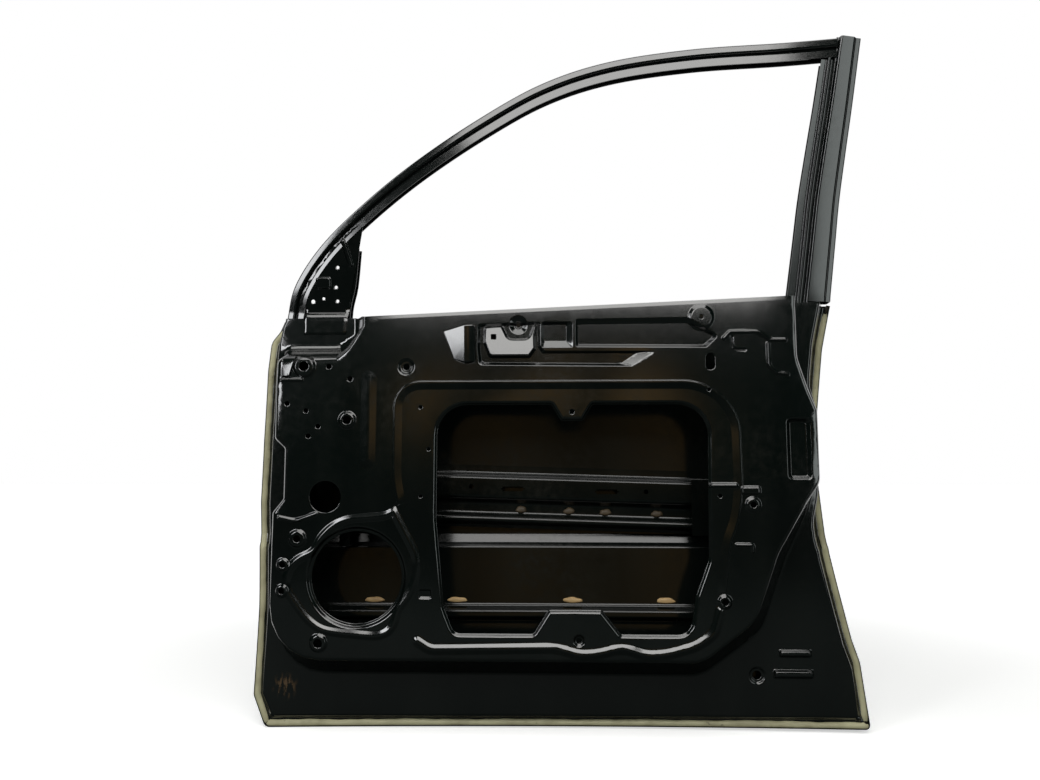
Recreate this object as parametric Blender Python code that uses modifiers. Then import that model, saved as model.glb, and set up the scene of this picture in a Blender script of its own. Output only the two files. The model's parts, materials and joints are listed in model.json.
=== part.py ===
"""Front right door shell of a car, in pressed steel, as it leaves the paint shop's primer bath.

Axes: +X towards the rear of the car, +Y towards the outside, +Z up. The origin is the middle of the
upper hinge face, on its outside. All sizes below are in millimetres; meshes are built in metres.
"""
import math

import bmesh
import bpy
import numpy as np
from mathutils import Matrix, Vector
from mathutils.geometry import delaunay_2d_cdt

MM = 0.001
DOOR_NAME = "car_door_shell"

# Sheets, and the gap left between two sheets that are welded, bolted or hemmed together
SKIN_SHEET = 0.8
PANEL_SHEET = 1.0
FRAME_SHEET = 1.2
BRACE_SHEET = 1.2
BEAM_SHEET = 1.6
HINGE_SHEET = 2.5
SEAT_GAP = 0.3

# Depths of the inner panel: the face that carries the trim, and the land that the body seal meets
TRIM_Y = -40.0
LAND_Y = 22.0

# Outer skin: a barrel about a lengthways axis, a slight crown along the car, and a stepped-in waist
SKIN_Y = 84.0
SKIN_CREST_Z = -30.0
SKIN_RADIUS = 2400.0
SKIN_CROWN = 12.0
SKIN_CROWN_X = 460.0
SKIN_CROWN_SPAN = 510.0
LEDGE_Z = -207.0
LEDGE_RUN = 14.0
LEDGE_STEP = 9.0

# Outline of the door below the belt, from the front top corner round the bottom to the rear top
FRONT_TOP_X = -20.0
FRONT_TOP_Z = 176.0
FRONT_X = -57.0
REAR_X = 934.0
HEEL_X = 982.0
SILL_Z = -525.0
REAR_TOP_X = 963.0
REAR_TOP_Z = 198.0

# Hem: the flange of the inner panel, the skin folded round it, and the sloped step up to the seal land
HEM_RETURN = 7.0
HEM_FLANGE = 14.0
HEM_STEP_RUN = 6.0
HEM_STEP_DRAFT = 0.38
SEAL_LAND = 14.0

# Belt line of the inner panel
BELT_FRONT_X = 130.0
BELT_FRONT_Z = 157.5
BELT_RISE = 0.0415
BELT_FLANGE = 5.0

# Trim face outline
SHUT_DRAFT_RUN = 5.0
LOWER_RUN = 33.0
HINGE_X = 0.0
LATCH_X = 897.0
TRIM_BOTTOM_Z = -398.0
CORNER_CLEARANCE = 13.0
TRIM_TOP_FRONT_Z = 94.0
TRIM_REAR_UPPER_X = 867.0

# Hinges, check strap and latch
HINGE_PITCH = 265.0
HINGE_MID_Y = 0.0
HINGE_PAD_WIDTH = 38.0
HINGE_PAD_HEIGHT = 72.0
HINGE_BOLT_HOLE = 11.0
HINGE_BOLT_SPACING = 46.0
CHECK_Z = -98.0
CHECK_INSET = 17.5
CHECK_SLOT_WIDTH = 14.0
CHECK_SLOT_HEIGHT = 40.0
LATCH_Z = -60.0
LATCH_OPENING_HEIGHT = 52.0
LATCH_OPENING_WIDTH = 26.0
LATCH_PLATE_HEIGHT = 86.0
NUT_WIDTH = 15.0
NUT_HEIGHT = 7.0
NUT_BORE = 8.5

# Access opening and its surround
ACCESS_FRONT_X = 275.0
ACCESS_REAR_X = 720.0
ACCESS_TOP_Z = 13.0
ACCESS_BOTTOM_Z = -356.0
ACCESS_CORNER = 50.0
ACCESS_LIP = 5.0
SEAL_BEAD_WIDTH = 15.0
SEAL_BEAD_HEIGHT = 4.0

# Speaker
SPEAKER_X = 145.0
SPEAKER_Z = -268.0
SPEAKER_HOLE = 148.0
SPEAKER_SEAT = 178.0
SPEAKER_SEAT_DEPTH = 6.0

# Window frame
FRAME_TILT = 11.0
FRAME_RADIUS = 3600.0
FRAME_FOOT_Z = 180.0
FRAME_TAIL = 60.0
RAIL_WIDTH = 27.0
FRAME_DEPTH = 27.0
PILLAR_WIDTH_TOP = 60.0
PILLAR_WIDTH_FOOT = 76.0
FRAME_TOP_Z = 619.0
CORNER_JOINT_X = 940.0
PILLAR_TAIL_INSET = 4.0

# Mirror bracket
MIRROR_FRONT_X = 30.0
MIRROR_REAR_X = 106.0
MIRROR_FOOT_Z = 143.0

# Impact beam: height of its upper edge at the front end, fall along the door, depth of its flanges
BEAM_FRONT_X = 40.0
BEAM_REAR_X = 866.0
BEAM_TOP_Z = -76.0
BEAM_FALL = 0.030
BEAM_FLANGE_Y = 76.0
BEAM_DRAW = 21.0
BEAM_HEIGHT = 109.0
BEAM_VALLEY = 14.0
BEAM_BRACKET_HEIGHT = 96.0
REAR_BRACKET_LAP = 160.0
FRONT_BRACKET_LAP = 60.0

# Lower skin stiffener and the dabs of sealer
STIFFENER_FRONT_X = 60.0
STIFFENER_REAR_X = 850.0
STIFFENER_TOP_Z = -324.0
STIFFENER_HEIGHT = 34.0
STIFFENER_DRAW = 12.0
DAB_WIDTH = 36.0
DAB_HEIGHT = 12.0
DAB_THICKNESS = 4.0
DAB_XS = (154.0, 299.0, 500.0, 661.0)
BEAM_DAB_XS = (410.0, 494.0, 558.0, 648.0)
BEAM_DAB_WIDTH = 20.0

# Outside handle
HANDLE_FRONT_X = 752.0
HANDLE_REAR_X = 892.0
HANDLE_Z = 84.0
HANDLE_HEIGHT = 62.0
HANDLE_DEPTH = 17.0
HANDLE_RUN = 14.0

# Belt reinforcements
BELT_BRACE_REAR_X = 840.0
BELT_BRACE_HEIGHT = 74.0
BELT_BRACE_DRAW = 12.0

# Glass run channels
CHANNEL_BOTTOM_Z = -225.0
CHANNEL_THROAT = 18.0

# Hem sealer
SEALER_WIDTH = 9.5
SEALER_HEIGHT = 2.2
SEALER_SEAT = 0.6

# How finely curves are faceted
CORNER_STEPS = 3
CIRCLE_STEPS = 10
TIGHT_RADIUS = 6.0
SLIGHT_TURN = math.radians(8)
WIDEST_FACET = math.radians(30)
LONGEST_EDGE = 65.0
SMALLEST_FACE = 0.002


# Outlines in the plane of the door: arrays of (x, z), anticlockwise seen from the cabin

def rounded(corners, steps=CORNER_STEPS):
    """Closed outline through corners given as (x, z) or (x, z, radius)."""
    points = []
    count = len(corners)
    for i, corner in enumerate(corners):
        here = np.array(corner[:2], float)
        radius = corner[2] if len(corner) > 2 else 0.0
        if radius <= 0.0:
            points.append(here)
            continue
        before = np.array(corners[i - 1][:2], float) - here
        after = np.array(corners[(i + 1) % count][:2], float) - here
        length_before = np.linalg.norm(before)
        length_after = np.linalg.norm(after)
        before /= length_before
        after /= length_after
        half = math.acos(max(-1.0, min(1.0, float(before @ after)))) / 2
        cut = min(radius / math.tan(half), 0.48 * length_before, 0.48 * length_after)
        radius = cut * math.tan(half)
        middle = (before + after) / np.linalg.norm(before + after)
        centre = here + middle * radius / math.sin(half)
        first = here + before * cut - centre
        last = here + after * cut - centre
        start = math.atan2(first[1], first[0])
        sweep_angle = math.atan2(last[1], last[0]) - start
        sweep_angle = (sweep_angle + math.pi) % (2 * math.pi) - math.pi
        if abs(sweep_angle) < SLIGHT_TURN:
            points.append(here)
            continue
        pieces = min(steps, 1 + int(radius / TIGHT_RADIUS), math.ceil(abs(sweep_angle) / WIDEST_FACET))
        for k in range(pieces + 1):
            angle = start + sweep_angle * k / pieces
            points.append(centre + radius * np.array((math.cos(angle), math.sin(angle))))
    return np.array(points)


def circle(x, z, diameter, steps=CIRCLE_STEPS):
    angles = [2 * math.pi * k / steps for k in range(steps)]
    return np.array([(x + diameter / 2 * math.cos(a), z + diameter / 2 * math.sin(a)) for a in angles])


def box_outline(x0, x1, z0, z1, radius=0.0):
    return rounded([(x0, z0, radius), (x1, z0, radius), (x1, z1, radius), (x0, z1, radius)])


def turning(loop):
    """Twice the signed area: positive for an anticlockwise outline."""
    after = np.roll(loop, -1, 0)
    return float((loop[:, 0] * after[:, 1] - loop[:, 1] * after[:, 0]).sum())


def side_normals(path):
    """Unit normals to the right of each stretch of an open path."""
    along = np.diff(path, axis=0)
    along /= np.linalg.norm(along, axis=1)[:, None]
    return np.stack((along[:, 1], -along[:, 0]), 1)


def grow(loop, distance):
    """Moves a closed outline outwards by distance, or inwards where it is negative."""
    normals = side_normals(np.vstack((loop, loop[:1])))
    if turning(loop) < 0:
        normals = -normals
    before = np.roll(normals, 1, 0)
    miter = (before + normals) / (1 + (before * normals).sum(1))[:, None]
    return loop + miter * distance


def shift_path(path, distance):
    """Moves an open path to its right by one distance, or by one for each point."""
    normals = side_normals(path)
    before = np.vstack((normals[:1], normals))
    after = np.vstack((normals, normals[-1:]))
    miter = (before + after) / (1 + (before * after).sum(1))[:, None]
    return path + miter * np.reshape(distance, (-1, 1))


def smooth_path(points, steps):
    """Catmull-Rom curve through chosen points, each stretch cut into equal steps."""
    chosen = np.array(points, float)
    ends = np.vstack((2 * chosen[0] - chosen[1], chosen, 2 * chosen[-1] - chosen[-2]))
    curve = []
    for i in range(len(chosen) - 1):
        a, b, c, d = ends[i:i + 4]
        for k in range(steps):
            t = k / steps
            curve.append(0.5 * (2 * b + (c - a) * t + (2 * a - 5 * b + 4 * c - d) * t ** 2
                                + (3 * b - a - 3 * c + d) * t ** 3))
    curve.append(chosen[-1])
    return np.array(curve)


def ribbon(centre, width):
    """Closed outline of a band of one width along an open centre line."""
    line = np.array(centre, float)
    first = (line[0] - line[1]) / np.linalg.norm(line[0] - line[1])
    last = (line[-1] - line[-2]) / np.linalg.norm(line[-1] - line[-2])
    line[0] += first * width / 2
    line[-1] += last * width / 2
    return np.vstack((shift_path(line, width / 2), shift_path(line, -width / 2)[::-1]))


def divided(loop, longest=LONGEST_EDGE):
    """The same outline with no edge longer than the given length."""
    points = []
    for here, after in zip(loop, np.roll(loop, -1, 0)):
        pieces = max(1, math.ceil(np.linalg.norm(after - here) / longest))
        points.extend(here + (after - here) * k / pieces for k in range(pieces))
    return np.array(points)


def within(points, loop):
    """Which points lie inside a closed outline."""
    x, z = points[:, :1], points[:, 1:]
    x0, z0 = loop[:, 0], loop[:, 1]
    x1, z1 = np.roll(loop, -1, 0).T
    crosses = (z0 > z) != (z1 > z)
    rise = np.where(z1 == z0, 1.0, z1 - z0)
    return (crosses & (x < x0 + (z - z0) / rise * (x1 - x0))).sum(1) % 2 == 1


def reach(points, loop):
    """Distance from each point to a closed outline."""
    along = np.roll(loop, -1, 0) - loop
    offset = points[:, None, :] - loop[None]
    share = np.clip((offset * along).sum(2) / (along * along).sum(1), 0, 1)
    return np.sqrt(((offset - share[..., None] * along) ** 2).sum(2).min(1))


def drawn_share(points, foot, crown):
    """0 outside the foot of a pressed wall, 1 inside its crown, and in proportion on the wall."""
    from_foot = np.where(within(points, foot), reach(points, foot), 0.0)
    from_crown = np.where(within(points, crown), 0.0, reach(points, crown))
    return from_foot / np.maximum(from_foot + from_crown, 1e-9)


# Surfaces that everything is seated on

def skin_y(x, z):
    """Middle of the outer skin's sheet."""
    barrel = SKIN_Y - (z - SKIN_CREST_Z) ** 2 / (2 * SKIN_RADIUS)
    crown = SKIN_CROWN * (1 - ((x - SKIN_CROWN_X) / SKIN_CROWN_SPAN) ** 2)
    return barrel + crown - LEDGE_STEP * np.clip((LEDGE_Z - z) / LEDGE_RUN, 0, 1)


def flange_y(x, z):
    """Middle of the inner panel's flange inside the hem."""
    return skin_y(x, z) - (SKIN_SHEET + PANEL_SHEET) / 2 - SEAT_GAP


def on_skin_y(x, z, sheet=BRACE_SHEET):
    """Middle of a sheet that lies on the skin's inner side."""
    return skin_y(x, z) - (SKIN_SHEET + sheet) / 2 - SEAT_GAP


FRAME_Y = LAND_Y + (PANEL_SHEET + FRAME_SHEET) / 2 + SEAT_GAP


def frame_y(x, z):
    """Innermost face of the window frame, which leans in towards the roof from just above the belt."""
    foot = np.maximum(FRAME_FOOT_Z, belt_z(x) + 2 * BELT_FLANGE)
    above = np.maximum(z - foot, 0.0)
    return FRAME_Y - math.tan(math.radians(FRAME_TILT)) * above - above ** 2 / (2 * FRAME_RADIUS)


def belt_z(x):
    return BELT_FRONT_Z + BELT_RISE * (x - BELT_FRONT_X)


# Objects, finishes and meshes

class Finish:
    """A material with the colour, roughness and metallic value of one real finish."""
    made = {}

    @classmethod
    def get(cls, name, colour, roughness, metallic):
        if name not in cls.made:
            material = bpy.data.materials.new(name)
            material.use_nodes = True
            shader = material.node_tree.nodes["Principled BSDF"]
            shader.inputs["Base Color"].default_value = (*colour, 1.0)
            shader.inputs["Roughness"].default_value = roughness
            shader.inputs["Metallic"].default_value = metallic
            material.diffuse_color = (*colour, 1.0)
            cls.made[name] = material
        return cls.made[name]


def black_primer():
    return Finish.get("black_primer", (0.018, 0.019, 0.019), 0.25, 0.0)


def hem_sealer():
    return Finish.get("hem_sealer", (0.60, 0.56, 0.40), 0.6, 0.0)


def mastic():
    return Finish.get("mastic", (0.62, 0.54, 0.36), 0.7, 0.0)


def new_collection(name):
    collection = bpy.data.collections.new(name)
    bpy.context.scene.collection.children.link(collection)
    return collection


def add_object(name, mesh, material):
    piece = bpy.data.objects.new(name, mesh)
    PARTS.objects.link(piece)
    mesh.materials.append(material)
    return piece


def mesh_from(name, points, faces):
    """A mesh in metres from points in millimetres, its sides all turned the same way."""
    mesh = bpy.data.meshes.new(name)
    mesh.from_pydata([Vector(p) * MM for p in points], [], faces)
    shape = bmesh.new()
    shape.from_mesh(mesh)
    bmesh.ops.recalc_face_normals(shape, faces=shape.faces)
    shape.to_mesh(mesh)
    shape.free()
    mesh.shade_smooth()
    mesh.set_sharp_from_angle(angle=math.radians(30))
    return mesh


def thicken(piece, sheet):
    """Gives an open surface the thickness of its sheet, half on each side."""
    solid = piece.modifiers.new("Sheet", "SOLIDIFY")
    solid.thickness = sheet * MM
    solid.offset = 0.0
    solid.use_even_offset = True
    return solid


def cut(piece, cutter):
    hole = piece.modifiers.new("Cut", "BOOLEAN")
    hole.operation = "DIFFERENCE"
    hole.object = cutter


def add_cutter(name, mesh, matrix):
    cutter = bpy.data.objects.new(name, mesh)
    CUTTERS.objects.link(cutter)
    cutter.matrix_world = matrix
    cutter.hide_render = True
    cutter.display_type = "WIRE"
    return cutter


def box_mesh(name, size_x, size_y, size_z):
    mesh = bpy.data.meshes.new(name)
    shape = bmesh.new()
    scale = Matrix.Diagonal((size_x * MM, size_y * MM, size_z * MM, 1.0))
    bmesh.ops.create_cube(shape, size=1.0, matrix=scale)
    shape.to_mesh(mesh)
    shape.free()
    return mesh


def rod_mesh(name, diameter, length, sides=12, across_x=True):
    """A rod along its own Z, or along X."""
    mesh = bpy.data.meshes.new(name)
    shape = bmesh.new()
    turn = Matrix.Rotation(math.pi / 2, 4, "Y") if across_x else Matrix.Identity(4)
    bmesh.ops.create_cone(shape, cap_ends=True, segments=sides, radius1=diameter / 2 * MM,
                          radius2=diameter / 2 * MM, depth=length * MM, matrix=turn)
    shape.to_mesh(mesh)
    shape.free()
    return mesh


def place(x, y, z, turn_z=0.0):
    return Matrix.Translation(Vector((x, y, z)) * MM) @ Matrix.Rotation(turn_z, 4, "Z")


class Pressing:
    """A pressed sheet: its outlines are laid out flat, then each point is drawn to its depth."""

    def __init__(self, outline, depth, longest=LONGEST_EDGE):
        self.outline = divided(outline, longest)
        self.longest = longest
        self.base = depth
        self.walls = []
        self.holes = []
        self.lines = []
        self.grid = []

    def draw(self, foot, crown, height=None, level=None):
        """Raises what lies inside the crown by height, or brings it to a level."""
        self.walls.append((divided(foot, self.longest), divided(crown, self.longest), height, level))

    def emboss(self, outline, height, run):
        """A pad raised towards the cabin, or a recess where height is negative."""
        self.draw(outline, grow(outline, -run), height=height)

    def bead(self, centre, width, height, run):
        self.draw(ribbon(centre, width), ribbon(centre, width - 2 * run), height=height)

    def ring(self, loop, width, height, run):
        """A raised line that closes on itself."""
        self.draw(grow(loop, width / 2), grow(loop, width / 2 - run), height=height)
        self.draw(grow(loop, run - width / 2), grow(loop, -width / 2), height=-height)

    def pierce(self, outline):
        self.holes.append(outline)

    def boss(self, x, z, diameter, height, hole=0.0, run=4.0):
        self.emboss(circle(x, z, diameter), height, run)
        if hole:
            self.pierce(circle(x, z, hole, 8))

    def add_grid(self, spacing_x, spacing_z, region):
        """Free points that let a curved stretch keep its curve."""
        low, high = self.outline.min(0), self.outline.max(0)
        counts = np.ceil((high - low) / (spacing_x, spacing_z)).astype(int)
        xs = np.linspace(low[0], high[0], counts[0] + 1)[1:-1]
        zs = np.linspace(low[1], high[1], counts[1] + 1)[1:-1]
        points = np.array([(x, z) for x in xs for z in zs])
        keep = within(points, self.outline) & (reach(points, self.outline) > spacing_z / 3)
        self.grid = points[keep & region(points)]

    def depth(self, points):
        x, z = points[:, 0], points[:, 1]
        y = self.base(x, z) * np.ones(len(points))
        for foot, crown, height, level in self.walls:
            share = drawn_share(points, foot, crown)
            y = y - share * height if level is None else y + share * (level - y)
        return y

    def surface(self):
        """Points in space and triangles of the pressed sheet."""
        loops = [self.outline] + self.holes
        for foot, crown, height, level in self.walls:
            loops += [foot, crown]
        points, edges = [], []
        for loop in loops:
            first = len(points)
            points.extend(Vector(p) for p in loop)
            edges.extend((first + k, first + (k + 1) % len(loop)) for k in range(len(loop)))
        for line in self.lines:
            first = len(points)
            points.extend(Vector(p) for p in line)
            edges.extend((first + k, first + k + 1) for k in range(len(line) - 1))
        points.extend(Vector(p) for p in self.grid)
        flat, _, faces, *_ = delaunay_2d_cdt(points, edges, [], 0, 0.05)
        flat = np.array([tuple(p) for p in flat])
        faces = np.array(faces)
        middles = flat[faces].mean(1)
        side_a = flat[faces[:, 1]] - flat[faces[:, 0]]
        side_b = flat[faces[:, 2]] - flat[faces[:, 0]]
        area = np.abs(side_a[:, 0] * side_b[:, 1] - side_a[:, 1] * side_b[:, 0]) / 2
        keep = within(middles, self.outline) & (area > SMALLEST_FACE)
        for hole in self.holes:
            keep &= ~within(middles, hole)
        faces = faces[keep]
        used = np.unique(faces)
        renumber = np.full(len(flat), -1)
        renumber[used] = np.arange(len(used))
        flat = flat[used]
        y = self.depth(flat)
        return np.stack((flat[:, 0], y, flat[:, 1]), 1), renumber[faces]

    def build(self, name, sheet, material):
        points, faces = self.surface()
        piece = add_object(name, mesh_from(name, points.tolist(), faces.tolist()), material)
        thicken(piece, sheet)
        return piece


def sheet_section(profile, sheet):
    """Closed outline of a bent strip of sheet whose middle follows the profile."""
    line = np.array(profile, float)
    return np.vstack((shift_path(line, sheet / 2), shift_path(line, -sheet / 2)[::-1]))


def sweep(name, path, sections, base_y, material):
    """Loft along a path in the plane of the door.

    A section's points are (inwards from the path, depth behind the base surface).
    """
    normals = side_normals(path)
    before = np.vstack((normals[:1], normals))
    after = np.vstack((normals, normals[-1:]))
    inward = -(before + after) / (1 + (before * after).sum(1))[:, None]
    points, faces = [], []
    count = len(sections[0])
    for at, aside, section in zip(path, inward, sections):
        for across, depth in section:
            x, z = at + aside * across
            points.append((x, float(base_y(x, z)) + depth, z))
    for i in range(len(path) - 1):
        for k in range(count):
            here, after_k = i * count + k, i * count + (k + 1) % count
            faces.append((here, after_k, after_k + count, here + count))
    faces.append(tuple(range(count))[::-1])
    faces.append(tuple(range(len(points) - count, len(points))))
    return add_object(name, mesh_from(name, points, faces), material)


# The door's outlines

def door_edge(inwards=0.0):
    """The edge of the door below the belt, front top to rear top, or a line that far inside it."""
    corners = [
        (FRONT_TOP_X - 3, FRONT_TOP_Z), (FRONT_TOP_X - 11, FRONT_TOP_Z - 18, 24),
        (FRONT_X + 10, FRONT_TOP_Z - 38, 30), (FRONT_X + 4, FRONT_TOP_Z - 90, 60),
        (FRONT_X, -40, 200), (FRONT_X - 1, -150, 200), (FRONT_X + 11, -330, 300),
        (FRONT_X + 14, SILL_Z + 52, 14), (FRONT_X + 38, SILL_Z + 2, 12),
        (HEEL_X + 2, SILL_Z + 8, 8), (HEEL_X - 4, SILL_Z + 110, 60), (REAR_X + 34, -379, 40),
        (REAR_X + 8, -235, 160), (REAR_X - 2, -100, 200), (REAR_X + 3, 10, 200),
        (REAR_TOP_X - 15, REAR_TOP_Z - 78, 120), (REAR_TOP_X, REAR_TOP_Z)]
    ends = [corners[0][:2], corners[-1][:2]]
    loop = rounded(corners, 2)
    start = int(np.argmin(np.abs(loop - ends[0]).sum(1)))
    return cut_at_ledge(shift_path(divided_path(np.roll(loop, -start, 0)), -inwards))


def divided_path(path):
    """Cuts an open path's long stretches."""
    points = [path[0]]
    for here, after in zip(path[:-1], path[1:]):
        pieces = max(1, math.ceil(np.linalg.norm(after - here) / LONGEST_EDGE))
        points.extend(here + (after - here) * k / pieces for k in range(1, pieces + 1))
    return np.array(points)


def cut_at_ledge(path):
    """Adds a point wherever an open path crosses the top or the bottom of the skin's ledge."""
    points = [path[0]]
    for here, after in zip(path[:-1], path[1:]):
        shares = [(level - here[1]) / (after[1] - here[1]) for level in (LEDGE_Z, LEDGE_Z - LEDGE_RUN)
                  if min(here[1], after[1]) < level < max(here[1], after[1])]
        points.extend(here + (after - here) * share for share in sorted(shares) + [1.0])
    return np.array(points)


def trim_outlines():
    """Crown and foot of the wall between the trim face and the seal land."""
    front = HINGE_X + HINGE_FACE_OFFSET
    check = front + CHECK_INSET
    top = TRIM_TOP_FRONT_Z
    over = 260.0
    below_hinge = -HINGE_PITCH - HINGE_PAD_HEIGHT / 2
    front_corner = below_hinge - CORNER_CLEARANCE - TRIM_BOTTOM_Z
    shut = SHUT_DRAFT_RUN
    low = LOWER_RUN
    # x, z, radius of the crown, then how far the foot lies from it in x and z
    stations = [
        (front, top, 10, -shut, 22), (front, CHECK_Z + 56, 8, -shut, 0),
        (check, CHECK_Z + 40, 8, -shut, 0), (check, CHECK_Z - 44, 8, -shut, 0),
        (front, CHECK_Z - 66, 8, -shut, 0), (front, TRIM_BOTTOM_Z, front_corner, -shut, -low),
        (LATCH_X - 195, TRIM_BOTTOM_Z, 60, 8, -low), (LATCH_X - 110, TRIM_BOTTOM_Z + 64, 80, 24, -24),
        (LATCH_X - 72, TRIM_BOTTOM_Z + 170, 120, 28, -14), (LATCH_X - 26, LATCH_Z - 90, 60, 20, -14),
        (LATCH_X, LATCH_Z - 54, 26, shut, -6), (LATCH_X, LATCH_Z + 62, 16, shut, 4),
        (LATCH_X - 14, LATCH_Z + 98, 40, 7, 4), (TRIM_REAR_UPPER_X, LATCH_Z + 150, 60, 9, 2),
        (TRIM_REAR_UPPER_X, over, 0, 9, 0), (148, over, 0, -24, 0),
        (148, 146, 10, -24, -6), (124, top + 14, 14, -14, 20), (106, top, 10, -8, 22)]
    crown = rounded([(x, z, r) for x, z, r, dx, dz in stations])
    foot = rounded([(x + dx, z + dz, r) for x, z, r, dx, dz in stations])
    return crown, foot


def land_edge():
    """Outer edge of the seal land: as the step slopes, where the land and the rail's tail leave room."""
    edge = door_edge()
    foot = shift_path(edge, -HEM_FLANGE)
    deep = flange_y(foot[:, 0], foot[:, 1]) - LAND_Y
    room = reach(foot, trim_outlines()[1]) - SEAL_LAND
    tail_x, tail_z = rail_path()[0]
    beside_tail = (foot[:, 1] > tail_z) & (foot[:, 0] < tail_x)
    room = np.where(beside_tail, tail_x - 2 * PANEL_SHEET - foot[:, 0], room)
    run = np.maximum(np.minimum(HEM_STEP_DRAFT * deep, room), HEM_STEP_RUN)
    return shift_path(edge, -HEM_FLANGE - run)


# The shut faces widen outwards; the front one's outside passes through the hinge's middle
SHUT_MID_Y = (TRIM_Y + LAND_Y) / 2
SHUT_SLOPE = math.atan2(SHUT_DRAFT_RUN, LAND_Y - TRIM_Y)
HALF_PANEL = PANEL_SHEET / 2 / math.cos(SHUT_SLOPE)
HINGE_FACE_OFFSET = math.tan(SHUT_SLOPE) * (HINGE_MID_Y - TRIM_Y) + HALF_PANEL
CHECK_X = HINGE_X + CHECK_INSET + math.tan(SHUT_SLOPE) * (HINGE_MID_Y - SHUT_MID_Y)


def access_outline():
    tab_x = (ACCESS_FRONT_X + ACCESS_REAR_X) / 2
    left, right = ACCESS_FRONT_X, ACCESS_REAR_X
    top, bottom = ACCESS_TOP_Z, ACCESS_BOTTOM_Z
    return rounded([
        (left, top, ACCESS_CORNER), (left, top - 188, 40), (left + 14, bottom + 40, 20),
        (left + 30, bottom, 16), (tab_x - 64, bottom, 8), (tab_x - 40, bottom + 38, 8),
        (tab_x + 46, bottom + 38, 8), (tab_x + 76, bottom, 8), (right - 36, bottom, 24),
        (right - 26, bottom + 60, 40), (right - 4, bottom + 118, 40), (right, top, ACCESS_CORNER),
        (tab_x + 34, top, 6), (tab_x + 18, top - 27, 8), (tab_x - 18, top - 27, 8),
        (tab_x - 34, top, 6)])


def press_belt_forms(panel):
    """Pads, recesses and bosses under the belt line, front to rear."""
    def under(x, drop):
        return belt_z(x) - drop

    upper = 152.0
    panel.draw(rounded([(284, 136, 4), (318, 142, 4), (330, 142, 4), (338, 90, 6), (322, 80, 8),
                        (304, 84, 8)]),
               rounded([(316, 134, 4), (318, 138, 3), (330, 138, 3), (332, 92, 4), (324, 88, 4),
                        (320, 92, 4)]), height=9)
    plate = [(344, 144, 6), (384, 144, 6), (396, 128, 6), (424, 128, 6), (440, 150, 6), (440, 106, 6),
             (426, 91, 6), (358, 91, 8)]
    panel.emboss(rounded(plate), 6, 4)
    panel.pierce(box_outline(364, 372, 120, 128))
    panel.boss(410, under(410, 20), 42, -7, 7, 7)
    panel.emboss(rounded([(446, 112, 6), (496, 112, 6), (496, upper, 6), (446, upper, 6)]), -9, 8)
    panel.emboss(rounded([(502, 111, 5), (720, 109, 5), (736, 128, 8), (700, 158, 12),
                          (502, upper + 1, 5)]), -6, 5)
    panel.emboss(rounded([(444, 78, 4), (598, 78, 8), (634, 101, 6), (444, 102, 4)]), -5, 5)
    panel.boss(712, under(712, 24), 48, 6, 7, 6)
    panel.bead([(748, 122), (758, 133), (806, 133), (822, 119), (848, 119)], 7, 3.5, 3)
    panel.bead([(762, 124), (762, 104), (782, 103)], 6, -3, 2.5)
    panel.bead([(820, 112), (820, 76), (832, 64), (850, 62)], 7, 3.5, 3)
    panel.pierce(rounded([(717, 70, 7), (733, 70, 7), (733, 98, 7), (719, 98, 7)]))


def press_hinge_forms(panel):
    """Rings, holes and beads of the front of the trim face."""
    panel.boss(51, 78, 38, 5, 16)
    panel.boss(125, -12, 30, 4, 14)
    panel.boss(47, -206, 30, 4, 12)
    panel.boss(222, 77, 28, -4, 11)
    for x, z, hole in ((92, 78, 9), (128, 57, 9), (55, 4, 8), (60, -38, 8), (76, -22, 8), (23, 16, 8)):
        panel.pierce(circle(x, z, hole, 7))
    panel.pierce(circle(91, -138, 52, 16))
    panel.bead([(160, 52), (160, -76)], 20, 4, 4)
    panel.bead([(14, 56), (46, 56)], 8, 4, 3)
    panel.bead([(16, -172), (44, -178), (76, -166)], 8, 3, 3)
    panel.boss(24, -248, 22, 3, 10, 3)
    panel.boss(24, -290, 22, 3, 10, 3)


def speaker_ring():
    """Centre line of the raised line round the speaker."""
    x, z = SPEAKER_X, SPEAKER_Z
    return rounded([
        (x - 100, z, 8), (x - 72, z - 52, 20), (x - 48, z - 78, 20), (x - 20, z - 92, 30),
        (x + 44, z - 99, 16), (x + 76, z - 88, 12), (x + 96, z - 34, 14), (x + 105, z + 2, 30),
        (x + 84, z + 54, 12), (x + 70, z + 84, 6), (x + 70, z + 105, 6), (x + 16, z + 97, 12),
        (x - 6, z + 99, 12), (x - 58, z + 76, 16), (x - 74, z + 44, 10), (x - 99, z + 14, 8)], 1)


def press_speaker(panel):
    panel.ring(speaker_ring(), 13, 5, 4)
    panel.emboss(circle(SPEAKER_X, SPEAKER_Z, SPEAKER_SEAT, 24), -SPEAKER_SEAT_DEPTH, 5)
    panel.pierce(circle(SPEAKER_X, SPEAKER_Z, SPEAKER_HOLE, 24))
    panel.boss(86, -372, 30, 4, 14)


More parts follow.
